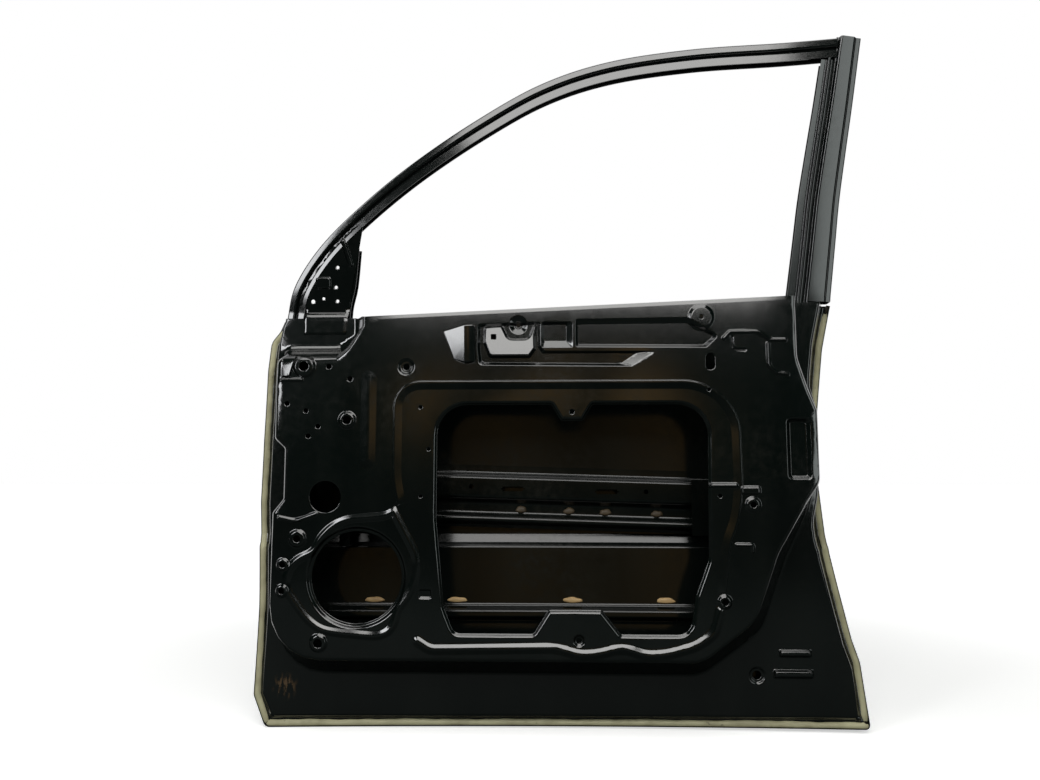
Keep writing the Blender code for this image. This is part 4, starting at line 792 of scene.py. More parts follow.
# %% Forms under the belt
def press_belt_forms(panel):
    ridge, recess = 320.0, 5.0

    def wedge(x, z):
        """A flat face that climbs to a ridge, then rolls off behind it."""
        start = 285.0 + 0.43 * (135.0 - z)
        return (0.29 * (np.minimum(x, ridge) - start) - 0.009 * np.maximum(x - ridge, 0) ** 2
                - 0.06 * (z - 115.0) + 1.0)

    def small_wedge(x, z):
        return 0.22 * (x - 12.0) - 0.05 * (z - 80.0)

    def sink(foot, crown, depth):
        """A recess whose slanted walls each have their own width."""
        panel.draw(rounded(foot), rounded(crown), height=-depth, bend=1.6)

    pad = [(283, 137, 2), (321, 146, 3), (337, 147, 4), (338, 84, 6), (321, 82, 4), (302, 89, 3)]
    panel.facet(rounded(pad), wedge, [[(x, 143.0), (x, 114.0), (x, 86.0)]
                                      for x in (319.4, 320.0, 320.8, 324.0, 328.0, 332.0)])
    panel.facet(rounded([(12, 97, 2), (37, 97, 2), (27, 62, 2), (12, 60, 2)]), small_wedge,
                [[(14.0, 80.0), (30.0, 80.0)]], 2.0)
    sink([(341, 149, 5), (340, 110, 10), (343, 79, 7), (597, 76, 3), (641, 102, 3), (452, 103, 4),
          (446, 112, 5), (446, 152, 5)],
         [(346, 145, 4), (345, 110, 10), (348, 84, 6), (594, 81, 2), (629, 99, 2), (449, 99, 3),
          (442, 110, 4), (442, 148, 4)], recess)
    plate = [(352, 144, 5), (382, 146, 6), (393, 123, 10), (425, 123, 10), (434, 146, 4), (441, 147, 3),
             (437, 128, 8), (438, 106, 3), (428, 92, 3), (361, 92, 6), (351, 118, 14)]
    panel.emboss(rounded(plate), 8.0, 3.5, 1.6, lean=0.10)
    panel.pierce(box_outline(364, 372, 122, 130, 1.2))
    panel.boss(409, 147, 31, -4.0, 7, 8)
    sink([(448, 108, 3), (500, 108, 3), (500, 152, 5), (448, 152, 5)],
         [(451, 120, 2), (489, 120, 2), (489, 148, 3), (451, 148, 3)], 7.0)
    sink([(504, 109, 4), (720, 107, 5), (741, 127, 6), (728, 135, 6), (690, 158, 8), (504, 156, 4)],
         [(508, 114, 3), (716, 112, 4), (733, 127, 5), (725, 131, 5), (688, 149, 7), (508, 148, 3)], 6.0)

    ramp_run = 14.5

    def ramp(x, z):
        """The flat slope that closes the lower recess, rising square to its slanted end."""
        climb = (x - 579.0) * 0.524 - (z - 82.0) * 0.852
        return TRIM_Y + recess * (1 - np.clip(climb / ramp_run, 0, 1))

    panel.cover(np.array([(577.0, 80.0), (606.0, 99.5), (640.0, 101.6), (597.0, 76.4), (586.0, 77.0)]), ramp)
    across, up = np.meshgrid(np.arange(578.0, 640.0, 2.0), np.arange(77.5, 101.0, 2.0))
    panel.grid = np.stack((across.ravel(), up.ravel()), 1)
    span = np.linspace(175.0, 860.0, 90)
    panel.lines += [np.stack((span, belt_z(span) - down), 1) for down in (2.0, 7.0)]
    panel.boss(712, belt_z(712) - 24, 44, 3, 7, 6)
    panel.bead([(748, 122), (758, 133), (806, 133), (822, 119), (848, 119)], 7, 3.5, 3)
    panel.bead([(762, 124), (762, 104), (782, 103)], 6, -3, 2.5)
    panel.bead([(820, 112), (820, 76), (832, 64), (850, 62)], 7, 3.5, 3)
    panel.pierce(rounded([(717, 70, 7), (733, 70, 7), (733, 98, 7), (719, 98, 7)]))


# %% Hinge corner
def press_hinge_forms(panel):
    for x, z, diameter, height, hole in ((51, 78, 38, 5, 16), (125, -12, 30, 4, 14), (47, -206, 30, 4, 12),
                                         (222, 77, 28, -4, 11)):
        panel.boss(x, z, diameter, height, hole)
    for x, z, hole in ((92, 78, 9), (128, 57, 9), (55, 4, 8), (60, -38, 8), (76, -22, 8), (23, 16, 8)):
        panel.pierce(circle(x, z, hole, 16))
    panel.pierce(circle(91, -138, 52, 48))
    panel.draw(ribbon([(160, 58), (160, -80)], 26), ribbon([(160, 52), (160, -76)], 4), height=1.0, bend=20.0)
    panel.bead([(14, 56), (46, 56)], 7, 3, 2.5)
    panel.lines += [np.array([(x, z) for z in np.arange(-36.0, 50.0, 6.0)]) for x in (10.5, 16.5)]
    panel.bead([(16, -172), (44, -178), (76, -166)], 8, 3, 3)
    panel.boss(24, -248, 22, 3, 10, 3)
    panel.boss(24, -290, 22, 3, 10, 3)


# %% Speaker opening
def press_speaker(panel):
    x, z = SPEAKER_X, SPEAKER_Z
    wavy = [(205, -162), (188, -169), (155, -172), (130, -175), (105, -186), (85, -206), (74, -226),
            (47, -241), (33, -262), (31, -285), (46, -309), (66, -333), (88, -349), (113, -355), (146, -358),
            (180, -360), (200, -352), (210, -336), (216, -317), (233, -293), (241, -270), (243, -238),
            (233, -214), (220, -190)]
    ring = smooth_path(wavy + wavy[:1], 4)[:-1]
    panel.ring(ring, 14, 2.6, 5.5, 4.0)
    panel.emboss(circle(x, z, 164, 72), -5, 4)
    panel.pierce(circle(x, z, 148, 72))
    panel.boss(86, -372, 30, 4, 14)


# %% Access opening
def access_outline():
    middle = (ACCESS_FRONT_X + ACCESS_REAR_X) / 2
    left, right, top, bottom = ACCESS_FRONT_X, ACCESS_REAR_X, ACCESS_TOP_Z, ACCESS_BOTTOM_Z
    return rounded([
        (left, top, 50), (left, top - 188, 40), (left + 14, bottom + 40, 20), (left + 30, bottom, 16),
        (middle - 64, bottom, 8), (middle - 40, bottom + 38, 8), (middle + 46, bottom + 38, 8),
        (middle + 76, bottom, 8), (right - 36, bottom, 24), (right - 26, bottom + 60, 40),
        (right - 4, bottom + 118, 40), (right, top, 50), (middle + 34, top, 6), (middle + 18, top - 27, 8),
        (middle - 18, top - 27, 8), (middle - 34, top, 6)], 8)


def press_access(panel):
    edge = access_outline()
    left, right, top, bottom = ACCESS_FRONT_X, ACCESS_REAR_X, ACCESS_TOP_Z, ACCESS_BOTTOM_Z
    panel.draw(grow(edge, 5.0), grow(edge, 0.6), height=-5.0, bend=4.0)
    panel.pierce(divided(edge, 12.0))
    path = [(left - 57, -150), (left - 66, -110), (left - 66, top + 4), (left - 56, top + 24),
            (left - 36, top + 33), (right - 22, top + 33), (right + 18, top + 14), (right + 44, top - 26),
            (right + 46, -130), (right + 38, -176), (right + 24, -210), (right + 14, -290)]
    # The seal bead's crest lies close to its outer foot. Both are drawn from one line, so they stay matched.
    half_width, crest = 7.5, (-3.4, -5.9)
    line = bent(path, 45.0)
    inner = line.copy()
    for end, beside in ((0, 1), (-1, -2)):
        along = line[beside] - line[end]
        inner[end] += 2.0 * along / np.linalg.norm(along)
    panel.draw(np.vstack((shift_path(line, half_width), shift_path(line, -half_width)[::-1])),
               np.vstack((shift_path(inner, crest[0]), shift_path(inner, crest[1])[::-1])),
               height=1.5, bend=1.0)
    lower = [(left - 28, bottom - 12), (left - 8, bottom - 25), (left + 195, bottom - 21),
             (left + 232, bottom - 32), (left + 262, bottom - 30), (left + 300, bottom - 20),
             (left + 338, bottom - 32), (left + 370, bottom - 30), (right - 30, bottom - 18),
             (right + 2, bottom + 2), (right + 12, bottom + 38)]
    panel.bead(lower, 17, 3.4, 7, 8.0)
    middle = (left + right) / 2
    panel.pierce(circle(middle, top - 12, 8, 20))
    panel.boss(middle + 9, bottom - 10, 20, -4, 9, 4)
    for x, z in ((left - 28, top - 4), (right + 2, top + 24), (left - 26, -137), (left - 14, -60)):
        panel.pierce(circle(x, z, 6, 16))
    panel.emboss(box_outline(left - 28, left - 6, -302, -286, 4), -3, 3)


# %% Latch corner
def press_latch_forms(panel):
    panel.emboss(box_outline(LATCH_X - 51, LATCH_X - 12, LATCH_Z - 50, LATCH_Z + 50, 8), -7, 6)
    panel.bead([(LATCH_X - 180, -119), (LATCH_X - 136, -119)], 8, 3.5, 3)
    panel.emboss(box_outline(LATCH_X - 128, LATCH_X - 96, -134, -120, 4), 3, 3)
    panel.boss(LATCH_X - 109, -150, 26, 3.5, 10)
    panel.boss(739, -304, 24, 4, 11)
    panel.bead([(760, -214), (786, -214), (786, -224)], 6, 3, 2.5)
    panel.pierce(circle(736, -136, 7, 16))
    for x, z, length, height in ((838, -402, 54, 12), (828, -436, 66, 14)):
        panel.emboss(box_outline(x, x + length, z, z + height, 4), 6, 4)
    panel.boss(802, -432, 28, -3, 14, 3)


# %% Cutting through a finished sheet
def bored(piece, shapes):
    """Cuts each shape, given as (name, mesh, place), out of a piece and clears the cutters away."""
    for name, mesh, matrix in shapes:
        cutter = bpy.data.objects.new(name, mesh)
        cutter.matrix_world = matrix
        scene.collection.objects.link(cutter)
        hole = piece.modifiers.new("Hole", "BOOLEAN")
        hole.operation = "DIFFERENCE"
        hole.object = cutter
    bpy.context.view_layer.update()
    ready = bpy.data.meshes.new_from_object(piece.evaluated_get(bpy.context.evaluated_depsgraph_get()))
    piece.modifiers.clear()
    piece.data = ready
    for name, mesh, matrix in shapes:
        for leftover in [o for o in scene.objects if o.data is mesh]:
            bpy.data.objects.remove(leftover)
    even_shading(piece)


def box_shape(size_x, size_y, size_z):
    """A block whose edges along x are rounded."""
    mesh = bpy.data.meshes.new("box_shape")
    shape = bmesh.new()
    bmesh.ops.create_cube(shape, size=1.0, matrix=Matrix.Diagonal((size_x * MM, size_y * MM, size_z * MM, 1)))
    bmesh.ops.bevel(shape, geom=[e for e in shape.edges if abs((e.verts[0].co - e.verts[1].co).x) > 1e-6],
                    offset=3 * MM, segments=4, affect="EDGES")
    shape.to_mesh(mesh)
    shape.free()
    return mesh


def rod_shape(diameter, length, sides=32):
    """A rod that lies along x."""
    mesh = bpy.data.meshes.new("rod_shape")
    shape = bmesh.new()
    bmesh.ops.create_cone(shape, cap_ends=True, segments=sides, radius1=diameter / 2 * MM,
                          radius2=diameter / 2 * MM, depth=length * MM,
                          matrix=Matrix.Rotation(math.pi / 2, 4, "Y"))
    shape.to_mesh(mesh)
    shape.free()
    return mesh


def at(x, y, z):
    """The matrix of a place given in millimetres."""
    return Matrix.Translation(Vector((x, y, z)) * MM)


# %% Build the inner panel
def build_inner_panel():
    fold_room, middle_x = 1.6, 460
    edge = door_edge(SKIN_SHEET / 2 + SEAT_GAP + fold_room)
    first_x, last_x = edge[0][0], edge[-1][0]
    top = [(last_x - 2, belt_z(last_x) + BELT_FLANGE),
           (BELT_FRONT_X + 20, belt_z(BELT_FRONT_X) + BELT_FLANGE),
           (BELT_FRONT_X - 10, FRONT_TOP_Z - 4), (first_x, FRONT_TOP_Z - 4)]
    keep = (edge[:, 1] < FRONT_TOP_Z - 5) | (edge[:, 0] > middle_x)
    panel = Pressing(np.vstack((edge[keep], top)), flange_y)
    edge, land = land_edge()
    panel.draw(closed_above(shift_path(edge, -HEM_FLANGE)), closed_above(land), level=LAND_Y, bend=5.0)
    foot, crown = trim_outlines()
    inside = grow(crown, -2.0)
    panel.lines.append(np.vstack((inside, inside[:1])))

    def bend(x, z):
        """A radius of 7 mm that opens to 16 mm at the hinge corner."""
        return 7.0 + 9.0 * np.clip((130.0 - x) / 30.0, 0, 1) * np.clip((z - 60.0) / 30.0, 0, 1)

    panel.draw(foot, crown, level=TRIM_Y, bend=bend)
    press_belt_forms(panel)
    press_hinge_forms(panel)
    press_speaker(panel)
    press_access(panel)
    press_latch_forms(panel)
    piece = fine_piece("inner_panel", *panel.surface(), primer)
    thicken(piece, PANEL_SHEET)
    middle = (TRIM_Y + LAND_Y) / 2
    slope = SHUT_DRAFT_RUN / (LAND_Y - TRIM_Y)
    shapes = [("bolt_hole", rod_shape(11.0, 16.0), at(0, 0, z + up)) for z in (0, -265) for up in (-23, 23)]
    shapes.append(("check_slot", box_shape(16, 14, 40), at(CHECK_INSET - slope * middle, middle, CHECK_Z)))
    shapes.append(("latch_mouth", box_shape(16, 26, 52), at(LATCH_X + SHUT_DRAFT_RUN / 2, middle, LATCH_Z)))
    bored(piece, shapes)
    return piece


inner = build_inner_panel()
print("inner panel:", len(inner.data.polygons), "faces with its thickness")


# %% [markdown]
# ## Outer skin
#
# From the cabin the skin is seen only through the big opening and as the thin fold round the edge. The fold
# is a half round with the flange of the inner panel caught inside it, so it is built as rows of points that
# run over from the rim of the skin. The cup behind the outside handle is pressed in from the other side.

# %% Build the skin
def handle_cup():
    height, front, rear, z = 62.0, 752.0, 892.0, 84.0
    return rounded([(front + 6, z - height / 2, 18), (rear - 6, z - height / 2, 18), (rear, z, 18),
                    (rear - 6, z + height / 2, 18), (front + 6, z + height / 2, 18), (front, z, 18)], 6)


def build_skin():
    fold = SKIN_SHEET + 2 * SEAT_GAP + PANEL_SHEET
    rim_line = door_edge(fold / 2)
    belt = np.linspace(rim_line[-1], rim_line[0], 60)[1:-1]
    panel = Pressing(np.vstack((rim_line, belt)), skin_y, 40.0)
    panel.emboss(handle_cup(), 17, 14, 6)
    for x in (776.0, 852.0):
        panel.pierce(box_outline(x, x + 16, 75, 93, 4))
    low, high = panel.outline.min(0), panel.outline.max(0)
    points = np.array([(x, z) for x in np.arange(low[0], high[0], 24.0)
                       for z in np.arange(low[1], high[1], 18.0)])
    keep = within(points, panel.outline) & (reach(points, panel.outline) > 7)
    keep &= (np.abs(points[:, 1] - LEDGE_Z + 12) > 18) & (reach(points, handle_cup()) > 12)
    panel.grid = points[keep & ~within(points, handle_cup())]
    for down in LEDGE_DOWN:
        level = LEDGE_Z - down
        crossing = rim_line[np.argsort(np.abs(rim_line[:, 1] - level))[:6]]
        ends = crossing[:, 0].min() + 8, crossing[:, 0].max() - 8
        panel.lines.append(np.stack((np.linspace(*ends, 50), np.full(50, level)), 1))
    points, faces = panel.surface()
    flat, points = points[:, ::2], points.tolist()
    rim = [int(np.argmin(((flat - spot) ** 2).sum(1))) for spot in rim_line]
    turns = [math.pi * k / 8 for k in range(1, 9)]
    rows = [(fold / 2 * (1 - math.sin(a)), fold / 2 * (1 - math.cos(a))) for a in turns]
    for across, depth in rows + [(HEM_RETURN, fold)]:
        row = door_edge(across)
        first = len(points)
        points.extend([x, float(skin_y(x, z)) - depth, z] for x, z in row)
        ring = list(range(first, first + len(row)))
        faces.extend((rim[k], rim[k + 1], ring[k + 1], ring[k]) for k in range(len(row) - 1))
        rim = ring
    piece = fine_piece("outer_panel", points, faces, inner_primer, crease=50.0)
    thicken(piece, SKIN_SHEET)
    return piece


skin = build_skin()
print("skin:", [round(side * 1000) for side in skin.dimensions], "mm")


# %% [markdown]
# ## Window frame
#
# Rail and pillar are roll-formed: one section of bent sheet carried along a curve. The bends of the section
# are what shows as bright lines in the photograph, so each gets a real radius.

# %% Sweeping a section
def sheet_section(profile, sheet):
    """Closed outline of bent sheet about its middle line."""
    line = np.array(profile, float)
    return np.vstack((shift_path(line, sheet / 2), shift_path(line, -sheet / 2)[::-1]))


SWEPT_CREASE = 40.0


def tube_faces(rows, count):
    """Faces round rows of points, each joined to the next, with a cap at both ends."""
    faces = [(row * count + k, row * count + (k + 1) % count, (row + 1) * count + (k + 1) % count,
              (row + 1) * count + k) for row in range(rows - 1) for k in range(count)]
    return faces + [tuple(range(count))[::-1], tuple(range((rows - 1) * count, rows * count))]


def swept(path, sections, base_y):
    """Loft whose section points are (inwards from the path, depth behind the base surface)."""
    points = []
    for spot, aside, section in zip(path, -mitres(path), sections):
        for across, depth in section:
            x, z = spot + aside * across
            points.append((x, float(base_y(x, z)) + depth, z))
    return points, tube_faces(len(path), len(sections[0]))


# %% Rail
def rail_path(steps=9):
    points = [(-7, FRAME_FOOT_Z - 60), (-2, 176), (14, 232), (62, 298), (136, 365), (227, 432),
              (336, 498), (447, 553), (560, 586), (700, 604), (850, 612), (CORNER_JOINT_X, 618)]
    return smooth_path(points, steps)


def build_rail():
    path = rail_path()[::-1]
    profile = bent([(RAIL_WIDTH, 5.2), (13.5, 8), (11.5, 0), (1.5, 1.8), (0, 4), (0, FRAME_DEPTH),
                    (RAIL_WIDTH - 2, FRAME_DEPTH)], 2.0)
    sections = [sheet_section(profile, FRAME_SHEET)] * len(path)
    piece = fine_piece("frame_rail", *swept(path, sections, frame_y), primer, crease=SWEPT_CREASE)
    even_shading(piece)
    return piece


rail = build_rail()
print("rail:", len(rail.data.polygons), "faces")


# %% Pillar
def pillar_section(width):
    land_end = 0.56 * width
    groove_end = land_end + 11
    rib_end = groove_end + 6
    profile = bent([(width, 6.4), (rib_end + 1, 7.6), (rib_end - 1, 0), (groove_end + 2, 0.4),
                    (groove_end, 8), (land_end + 2, 8.4), (land_end, 1), (12, 3.2), (9, 6.4), (0, 7),
                    (0, FRAME_DEPTH + 1), (width - 3, FRAME_DEPTH + 1)], 2.4)
    return sheet_section(profile, FRAME_SHEET)


def build_pillar():
    points = [(942, FRAME_FOOT_Z - 60), (949, belt_z(949) + BELT_FLANGE - 2), (955, 290), (959, 364),
              (966, 443), (973, 520), (980, FRAME_TOP_Z)]
    path = smooth_path(points, 6)
    share = (path[:, 1] - FRAME_FOOT_Z) / (FRAME_TOP_Z - FRAME_FOOT_Z)
    foot_width, narrowing = 76.0, 16.0
    sections = [pillar_section(foot_width - narrowing * up) for up in share]
    piece = fine_piece("rear_pillar", *swept(path, sections, frame_y), primer, crease=SWEPT_CREASE)
    size = 120.0
    corner_x, corner_z = CORNER_JOINT_X + SEAT_GAP, FRAME_TOP_Z - RAIL_WIDTH - 4
    beside = [x for x, z in land_edge()[1] if x > 460 and z > FRAME_FOOT_Z - 60]
    tail_x = float(min(beside)) - 4.0
    tail_z = belt_z(float(max(beside))) + BELT_FLANGE + PANEL_SHEET
    notch = box_shape(size, 4 * size, size)
    bored(piece, [("corner_notch", notch, at(corner_x - size / 2, 0, corner_z + size / 2)),
                  ("tail_notch", notch.copy(), at(tail_x + size / 2, 0, tail_z - size / 2))])
    return piece


pillar = build_pillar()
print("pillar:", len(pillar.data.polygons), "faces")


# %% [markdown]
# ## Mirror bracket
#
# A pressed triangle closes the front corner of the window and carries the mirror. Below the belt it lies on
# the land of the inner panel; above, it leans in with the rail. One smooth blend joins the two.

# %% Build the bracket
def build_bracket():
    sheet, bend_z, blend_height = FRAME_SHEET, FRONT_TOP_Z - 2, 11
    line = shift_path(rail_path(), 15.5)
    line = line[(line[:, 1] > 196) & (line[:, 1] < 334)]
    outline = np.vstack(([(30, 143), (104, 143), (106, bend_z), (108, bend_z + 18), (112, 223), (118, 250),
                          (125, 280), (137, 336)], line[::-1], [(30, bend_z + 18), (30, bend_z)]))
    lift = (FRAME_SHEET + sheet) / 2 + SEAT_GAP
    seat = LAND_Y - (PANEL_SHEET + sheet) / 2 - SEAT_GAP

    def depth(x, z):
        share = np.clip((z - bend_z) / blend_height, 0, 1)
        share = share * share * (3 - 2 * share)
        return seat + (frame_y(x, z) + 8.0 - lift - seat) * share

    panel = Pressing(outline, depth, 10.0)
    panel.emboss(box_outline(48, 76, 224, 245, 5), 3, 3, 2.5)
    panel.bead([(100, 305), (112, 266)], 10, 3, 3)
    for x, z, hole in ((84, 228, 7), (86, 204, 7), (88, 262, 7), (43, 203, 7), (62, 208, 5)):
        panel.pierce(circle(x, z, hole, 24))
    points = np.array([(x, z) for x in np.arange(34, 136, 8.0) for z in np.arange(148, 334, 6.0)])
    keep = within(points, panel.outline) & (reach(points, panel.outline) > 2.5)
    for x, z in ((62, 234.5), (106, 285)):
        keep &= np.hypot(points[:, 0] - x, points[:, 1] - z) > 26
    panel.grid = points[keep]
    piece = fine_piece("mirror_bracket", *panel.surface(), primer)
    thicken(piece, sheet)
    return piece


bracket = build_bracket()
print("mirror bracket:", [round(side * 1000) for side in bracket.dimensions], "mm")


# %% [markdown]
# ## Impact beam
#
# Behind the opening runs the side impact beam: a deep rolled section with two crowns and a valley, hung from
# a bent plate at each end. Its bright horizontal lines are its bends. Slots and holes are cut through.

# %% Build the beam
def beam_top_z(x):
    """Upper edge of the beam, which falls a little to the rear."""
    return -76.0 - 0.030 * (x - BEAM_FRONT_X)


def build_beam():
    outer, crown, valley = BEAM_OUTER, BEAM_CROWN, BEAM_VALLEY
    profile = bent([(0, outer), (15, outer), (20, crown), (56, crown), (65, valley), (84, valley),
                    (91, crown + 3), (97, crown + 3), (103, outer), (109, outer)], 4.5, 5)
    xs = np.linspace(BEAM_FRONT_X, BEAM_REAR_X, 12)[::-1]
    path = np.stack((xs, beam_top_z(xs)), 1)
    sections = [sheet_section(profile, BEAM_SHEET)] * len(path)
    piece = fine_piece("impact_beam", *swept(path, sections, lambda x, z: 0.0), inner_primer,
                       crease=SWEPT_CREASE)
    turn = Matrix.Rotation(math.pi / 2, 4, "Z")
    shapes = [("beam_slot", box_shape(20.0, 42.0, 8.0), at(x, crown, beam_top_z(x) - 40) @ turn)
              for x in (396.0, 560.0)]
    shapes += [("beam_hole", rod_shape(8.0, 20.0), at(x, crown, beam_top_z(x) - 38) @ turn)
               for x in (323.0, 628.0)]
    bored(piece, shapes)
    return piece


beam = build_beam()
print("beam:", len(beam.data.polygons), "faces")


# %% Plates at the beam's ends
def build_end_plate(node, profile, top):
    """A strip bent along profile, given as (x, y), that hangs down from its top edge."""
    section = sheet_section(bent(profile, 8.0), FRAME_SHEET)
    height, rows = 96, 6
    points = [(x, y, z) for z in np.linspace(top - height, top, rows) for x, y in section]
    return fine_piece(node, points, tube_faces(rows, len(section)), inner_primer)


over_beam = BEAM_CROWN - (BEAM_SHEET + FRAME_SHEET) / 2 - SEAT_GAP
on_land = LAND_Y + (PANEL_SHEET + FRAME_SHEET) / 2 + SEAT_GAP
plates = [
    build_end_plate("beam_bracket_front", [(-18, on_land), (-2, on_land), (36, over_beam), (100, over_beam)],
                    beam_top_z(BEAM_FRONT_X) - 10),
    build_end_plate("beam_bracket_rear", [(706, over_beam), (881, over_beam), (892, on_land), (900, on_land)],
                    beam_top_z(BEAM_REAR_X) - 10)]
print("end plates:", [len(plate.data.polygons) for plate in plates], "faces")


# %% [markdown]
# ## Stiffener, sealer dabs and glass guides
#
# A shallow hat section low on the skin stops it from drumming. Half-moon dabs of mastic sit along its top
# edge, and pads of the same paste fill the gap between the beam and the skin; those pads are coloured far
# darker, which is painted shade.

# %% Stiffener
def on_skin_y(x, z):
    """Middle of a sheet that lies on the inside of the skin."""
    return skin_y(x, z) - (SKIN_SHEET + FRAME_SHEET) / 2 - SEAT_GAP


def build_stiffener():
    front, rear, low, high = 60.0, 850.0, -358.0, STIFFENER_TOP_Z
    panel = Pressing(box_outline(front, rear, low, high, 6), on_skin_y, 16.0)
    panel.emboss(box_outline(front + 12, rear - 12, low + 7, high - 5, 6), 12, 6, 3)
    piece = fine_piece("skin_stiffener", *panel.surface(), inner_primer)
    thicken(piece, FRAME_SHEET)
    return piece


stiffener = build_stiffener()
print("stiffener:", [round(side * 1000) for side in stiffener.dimensions], "mm")


# %% Dabs of mastic
PASTE_CREASE = 70.0


def build_dab(name, x, back, z, width, height, thickness, seed, paste):
    """A squeezed half-moon: a dome that thins to its rim, a little different each time."""
    rings, spokes = 6, 28
    points, faces = [(x, back - thickness, z + height * 0.38)], []
    for r in range(1, rings + 1):
        share = r / rings
        for k in range(spokes):
            a = 2 * math.pi * k / spokes
            wobble = 1 + 0.05 * math.sin(2 * a + seed) + 0.04 * math.sin(5 * a + 2.1 * seed)
            across = width / 2 * math.cos(a) * share * wobble
            up = height * (0.38 + share * (0.62 * math.sin(a) if math.sin(a) > 0 else 0.38 * math.sin(a)))
            drop = thickness * math.sqrt(max(0.0, 1 - share ** 3))
            points.append((x + across, back - drop, z + up * wobble))
    for k in range(spokes):
        faces.append((0, 1 + k, 1 + (k + 1) % spokes))
        for r in range(rings - 1):
            a, b = 1 + r * spokes + k, 1 + r * spokes + (k + 1) % spokes
            faces.append((a, a + spokes, b + spokes, b))
    faces.append(tuple(range(len(points) - spokes, len(points))))
    return fine_piece(name, points, faces, paste, "mastic", PASTE_CREASE)


dabs = []
for number, x in enumerate((154.0, 299.0, 500.0, 661.0), 1):
    dab_back = min(float(skin_y(x + side * 18, STIFFENER_TOP_Z)) for side in (-1, 1)) - SKIN_SHEET / 2 + 0.2
    dabs.append(build_dab(f"stiffener_dab_{number}", x, dab_back, STIFFENER_TOP_Z + SEAT_GAP, 33, 10, 4.0,
                          number, mastic))
# These pads take the dark copy of the mastic, a colour that is painted shade.
for number, x in enumerate((410.0, 494.0, 558.0, 648.0), 1):
    dab_back = BEAM_VALLEY - BEAM_SHEET / 2 + 0.1
    dabs.append(build_dab(f"beam_dab_{number}", x, dab_back, beam_top_z(x) - 82, 20, 12, 4.2, number + 4,
                          painted_shade_mastic))
print("dabs:", len(dabs))


# %% Glass guides
def build_guide(name, points, near, far):
    """A channel along points, open to the glass, between two depths."""
    section = sheet_section(bent([(18, near), (0, near), (0, far), (18, far)], 3.0), FRAME_SHEET)
    path = smooth_path(points, 5)
    return fine_piece(name, *swept(path, [section] * len(path), frame_y), inner_primer, crease=SWEPT_CREASE)


guides = [
    build_guide("glass_channel_front", [(110, 296), (102, 235), (90, 178), (92, 60), (96, -80), (98, -225)],
                8.6, FRAME_DEPTH),
    build_guide("glass_channel_rear", [(874, -225), (878, -80), (882, 60), (885, 168)],
                8.5, FRAME_DEPTH - 0.5)]
print("glass guides:", [len(guide.data.polygons) for guide in guides], "faces")


# %% [markdown]
# ## Hem sealer
#
# The raw edge of the fold is closed with a bead of paste. It is a hand's work: the width breathes, the crown
# wanders and there are small steps where the nozzle was lifted. Sine waves of unrelated lengths give that
# without any random numbers, so each run comes out the same.

# %% Build the beads
def run_of(label):
    """The stretch of the door's edge that one run of sealer follows."""
    edge = door_edge(0.0, 5.0)
    heel = int(np.argmax(edge[:, 0]))
    toe = int(np.argmin(np.abs(edge - (FRONT_X + 38, SILL_Z + 2)).sum(1)))
    return {"front": edge[3:toe], "bottom": edge[toe:heel + 1], "rear": edge[heel + 1:-3]}[label]


def build_bead(label):
    path = run_of(label)
    along = np.concatenate(([0], np.cumsum(np.linalg.norm(np.diff(path, axis=0), axis=1))))
    start, width = 1.5, 9.5
    on_return, on_flange = -2.75, -1.65
    sections = []
    for s in along:
        breathe = 0.5 * math.sin(s / 31.0) + 0.35 * math.sin(s / 12.7 + 1.3) + 0.25 * math.sin(s / 5.3 + 0.4)
        crest = 2.5 + 0.35 * math.sin(s / 17.0 + 2.0) + 0.2 * math.sin(s / 7.1)
        ends = min(1.0, math.sqrt(max(0.02, min(s, along[-1] - s) / 9.0)))
        wide = (width + breathe) * (0.55 + 0.45 * ends)
        begin = start + (width + breathe - wide) / 2
        top = []
        for k in range(1, 12):
            share = 1 - k / 12
            base = on_return + (on_flange - on_return) * share
            top.append((begin + wide * share, base - crest * ends * math.sin(math.pi * share) ** 0.55))
        sections.append([(begin, on_return), (HEM_RETURN + 0.6, on_return), (HEM_RETURN + 0.6, on_flange),
                         (begin + wide, on_flange)] + top)
    return fine_piece("hem_sealer_" + label, *swept(path, sections, skin_y), sealer, "hem_sealer",
                      PASTE_CREASE)


beads = [build_bead(label) for label in ("front", "bottom", "rear")]
print("sealer:", [len(bead.data.polygons) for bead in beads], "faces")


# %% [markdown]
# ## Braces and weld nuts
#
# The flat plates and nuts of the engineering model are the right shape already, so they stay and only take
# on the primer.

# %% Primer for the kept pieces
kept = [o for o in scene.objects if o.type == "MESH" and o.name in frame["nodes"] and not o.hide_render]
for node in kept:
    for place in node.material_slots:
        place.material = inner_primer
print("kept nodes:", sorted(o.name for o in kept))


# %% [markdown]
# ## Studio
#
# A black gloss part looks like its surroundings. One long soft lamp hangs in front of the door, above the
# camera: the window frame leans in towards it and mirrors it, the flat trim face mirrors the dim room under
# it, and only what leans back a few degrees, such as a bend or a sloping pad, flashes. Weaker lamps stand to
# the left, to the right for the pillar, and overhead. The backdrop is white for the camera and for what
# mirrors it, so it doesn't grey the paint.

# %% Floor
def rays_of(tree):
    """Fields that are 1 for the camera's own rays, and 1 for those that come by a mirror or through glass."""
    rays = tree.nodes.new("ShaderNodeLightPath")
    seen, glossy, clear = (Field(tree, rays.outputs[f"Is {kind} Ray"]) for kind in (
        "Camera", "Glossy", "Transmission"))
    return seen, (glossy + clear).clamped()


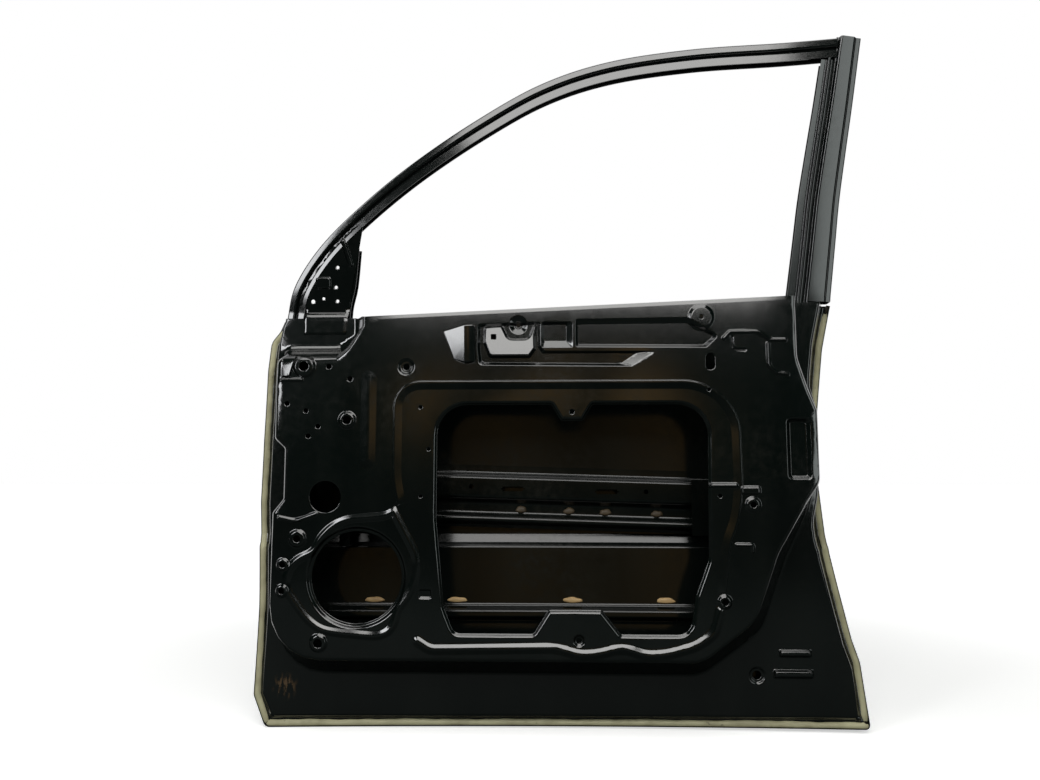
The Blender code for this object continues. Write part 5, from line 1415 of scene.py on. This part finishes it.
def build_floor():
    """White paper for the camera, near black for the light, so that it doesn't shine up into the door."""
    low = min(corner[2] for corner in cad_box)
    size, z = 30.0, low - 0.0005
    mesh = bpy.data.meshes.new("floor")
    mesh.from_pydata([(-size, -size, z), (size, -size, z), (size, size, z), (-size, size, z)], [],
                     [(0, 1, 2, 3)])
    paper = Finish("floor_white", (0.9, 0.9, 0.9))
    x, y, _ = paper.place.parts()
    x = x - 0.45
    away = (x * x + y * y).math("SQRT")
    seen, mirrored = rays_of(paper.tree)
    shown = seen.math("MAXIMUM", mirrored * y.band(0.0, 0.4))
    glow = away.band(0.7, 2.2).blend((0.52, 0.52, 0.52, 1.0), (1.0, 1.0, 1.0, 1.0))
    paper.set(Base_Color=shown.blend((0.020, 0.028, 0.025, 1.0), (0.88, 0.88, 0.87, 1.0)),
              Emission_Color=shown.blend((0.0, 0.0, 0.0, 1.0), glow), Emission_Strength=1.0, Roughness=0.9)
    mesh.materials.append(paper.material)
    floor = bpy.data.objects.new("floor", mesh)
    scene.collection.objects.link(floor)
    return floor


floor = build_floor()


# %% Lamps
def lamp(name, place, target, size_x, size_y, watts, colour):
    """A soft lamp that points at a target and isn't seen itself."""
    data = bpy.data.lights.new(name, "AREA")
    data.shape = "RECTANGLE"
    data.size, data.size_y, data.energy, data.color = size_x, size_y, watts, colour
    made = bpy.data.objects.new(name, data)
    made.location = place
    made.rotation_euler = (Vector(target) - Vector(place)).to_track_quat("-Z", "Y").to_euler()
    made.visible_camera = False
    scene.collection.objects.link(made)
    return made


lamp("long_lamp", (0.55, -1.55, 0.92), (0.50, 0.0, 0.10), 1.45, 0.80, 18.0, (1.0, 0.99, 0.97))
lamp("left_lamp", (-1.0, -1.45, 0.70), (0.3, 0.0, 0.1), 0.55, 1.1, 15.0, (0.97, 0.98, 1.0))
lamp("pillar_lamp", (2.0, -1.45, 0.20), (0.95, 0.0, 0.35), 0.6, 1.1, 3.8, (0.93, 1.0, 0.98))
lamp("ceiling_lamp", (0.45, -0.85, 2.2), (0.45, 0.0, 0.0), 2.6, 1.2, 30.0, (1.0, 0.99, 0.97))


# %% The room that the paint mirrors
world = bpy.data.worlds.new("room")
scene.world = world
world.use_nodes = True
room = world.node_tree
toward = Field(room, room.nodes.new("ShaderNodeTexCoord").outputs["Generated"])
side, ahead, up = toward.parts()
front = ahead.math("MULTIPLY", -1.0).math("MAXIMUM", 0.02)
across = side.math("DIVIDE", front)
height = up.math("DIVIDE", front)
behind_camera = (0.0 - ahead).band(0.0, 0.2)
drift = toward.node("ShaderNodeTexNoise", None, {"Vector": toward, "Scale": 14.0, "Detail": 2.0})
wall = (across.band(-0.21, -0.15) * (1.0 - across.band(0.14, 0.24)) * height.band(0.0, 0.06)
        * (1.0 - height.band(0.10, 0.17)) * drift.band(0.44, 0.60) * behind_camera)
dim, warm = (0.008, 0.016, 0.013, 1.0), (0.42, 0.26, 0.10, 1.0)
lit = wall.blend(dim, warm)
seen, mirrored = rays_of(room)
backdrop = seen.math("MAXIMUM", mirrored * ahead.band(0.0, 0.3)).blend(lit, (1.0, 1.0, 1.0, 1.0))
background = room.nodes["Background"]
plug(room, background.inputs["Color"], backdrop)
plug(room, background.inputs["Strength"], 1.0)
print("room:", len(room.nodes), "nodes")

# %% Sizes
print("CAD box", cad_box)
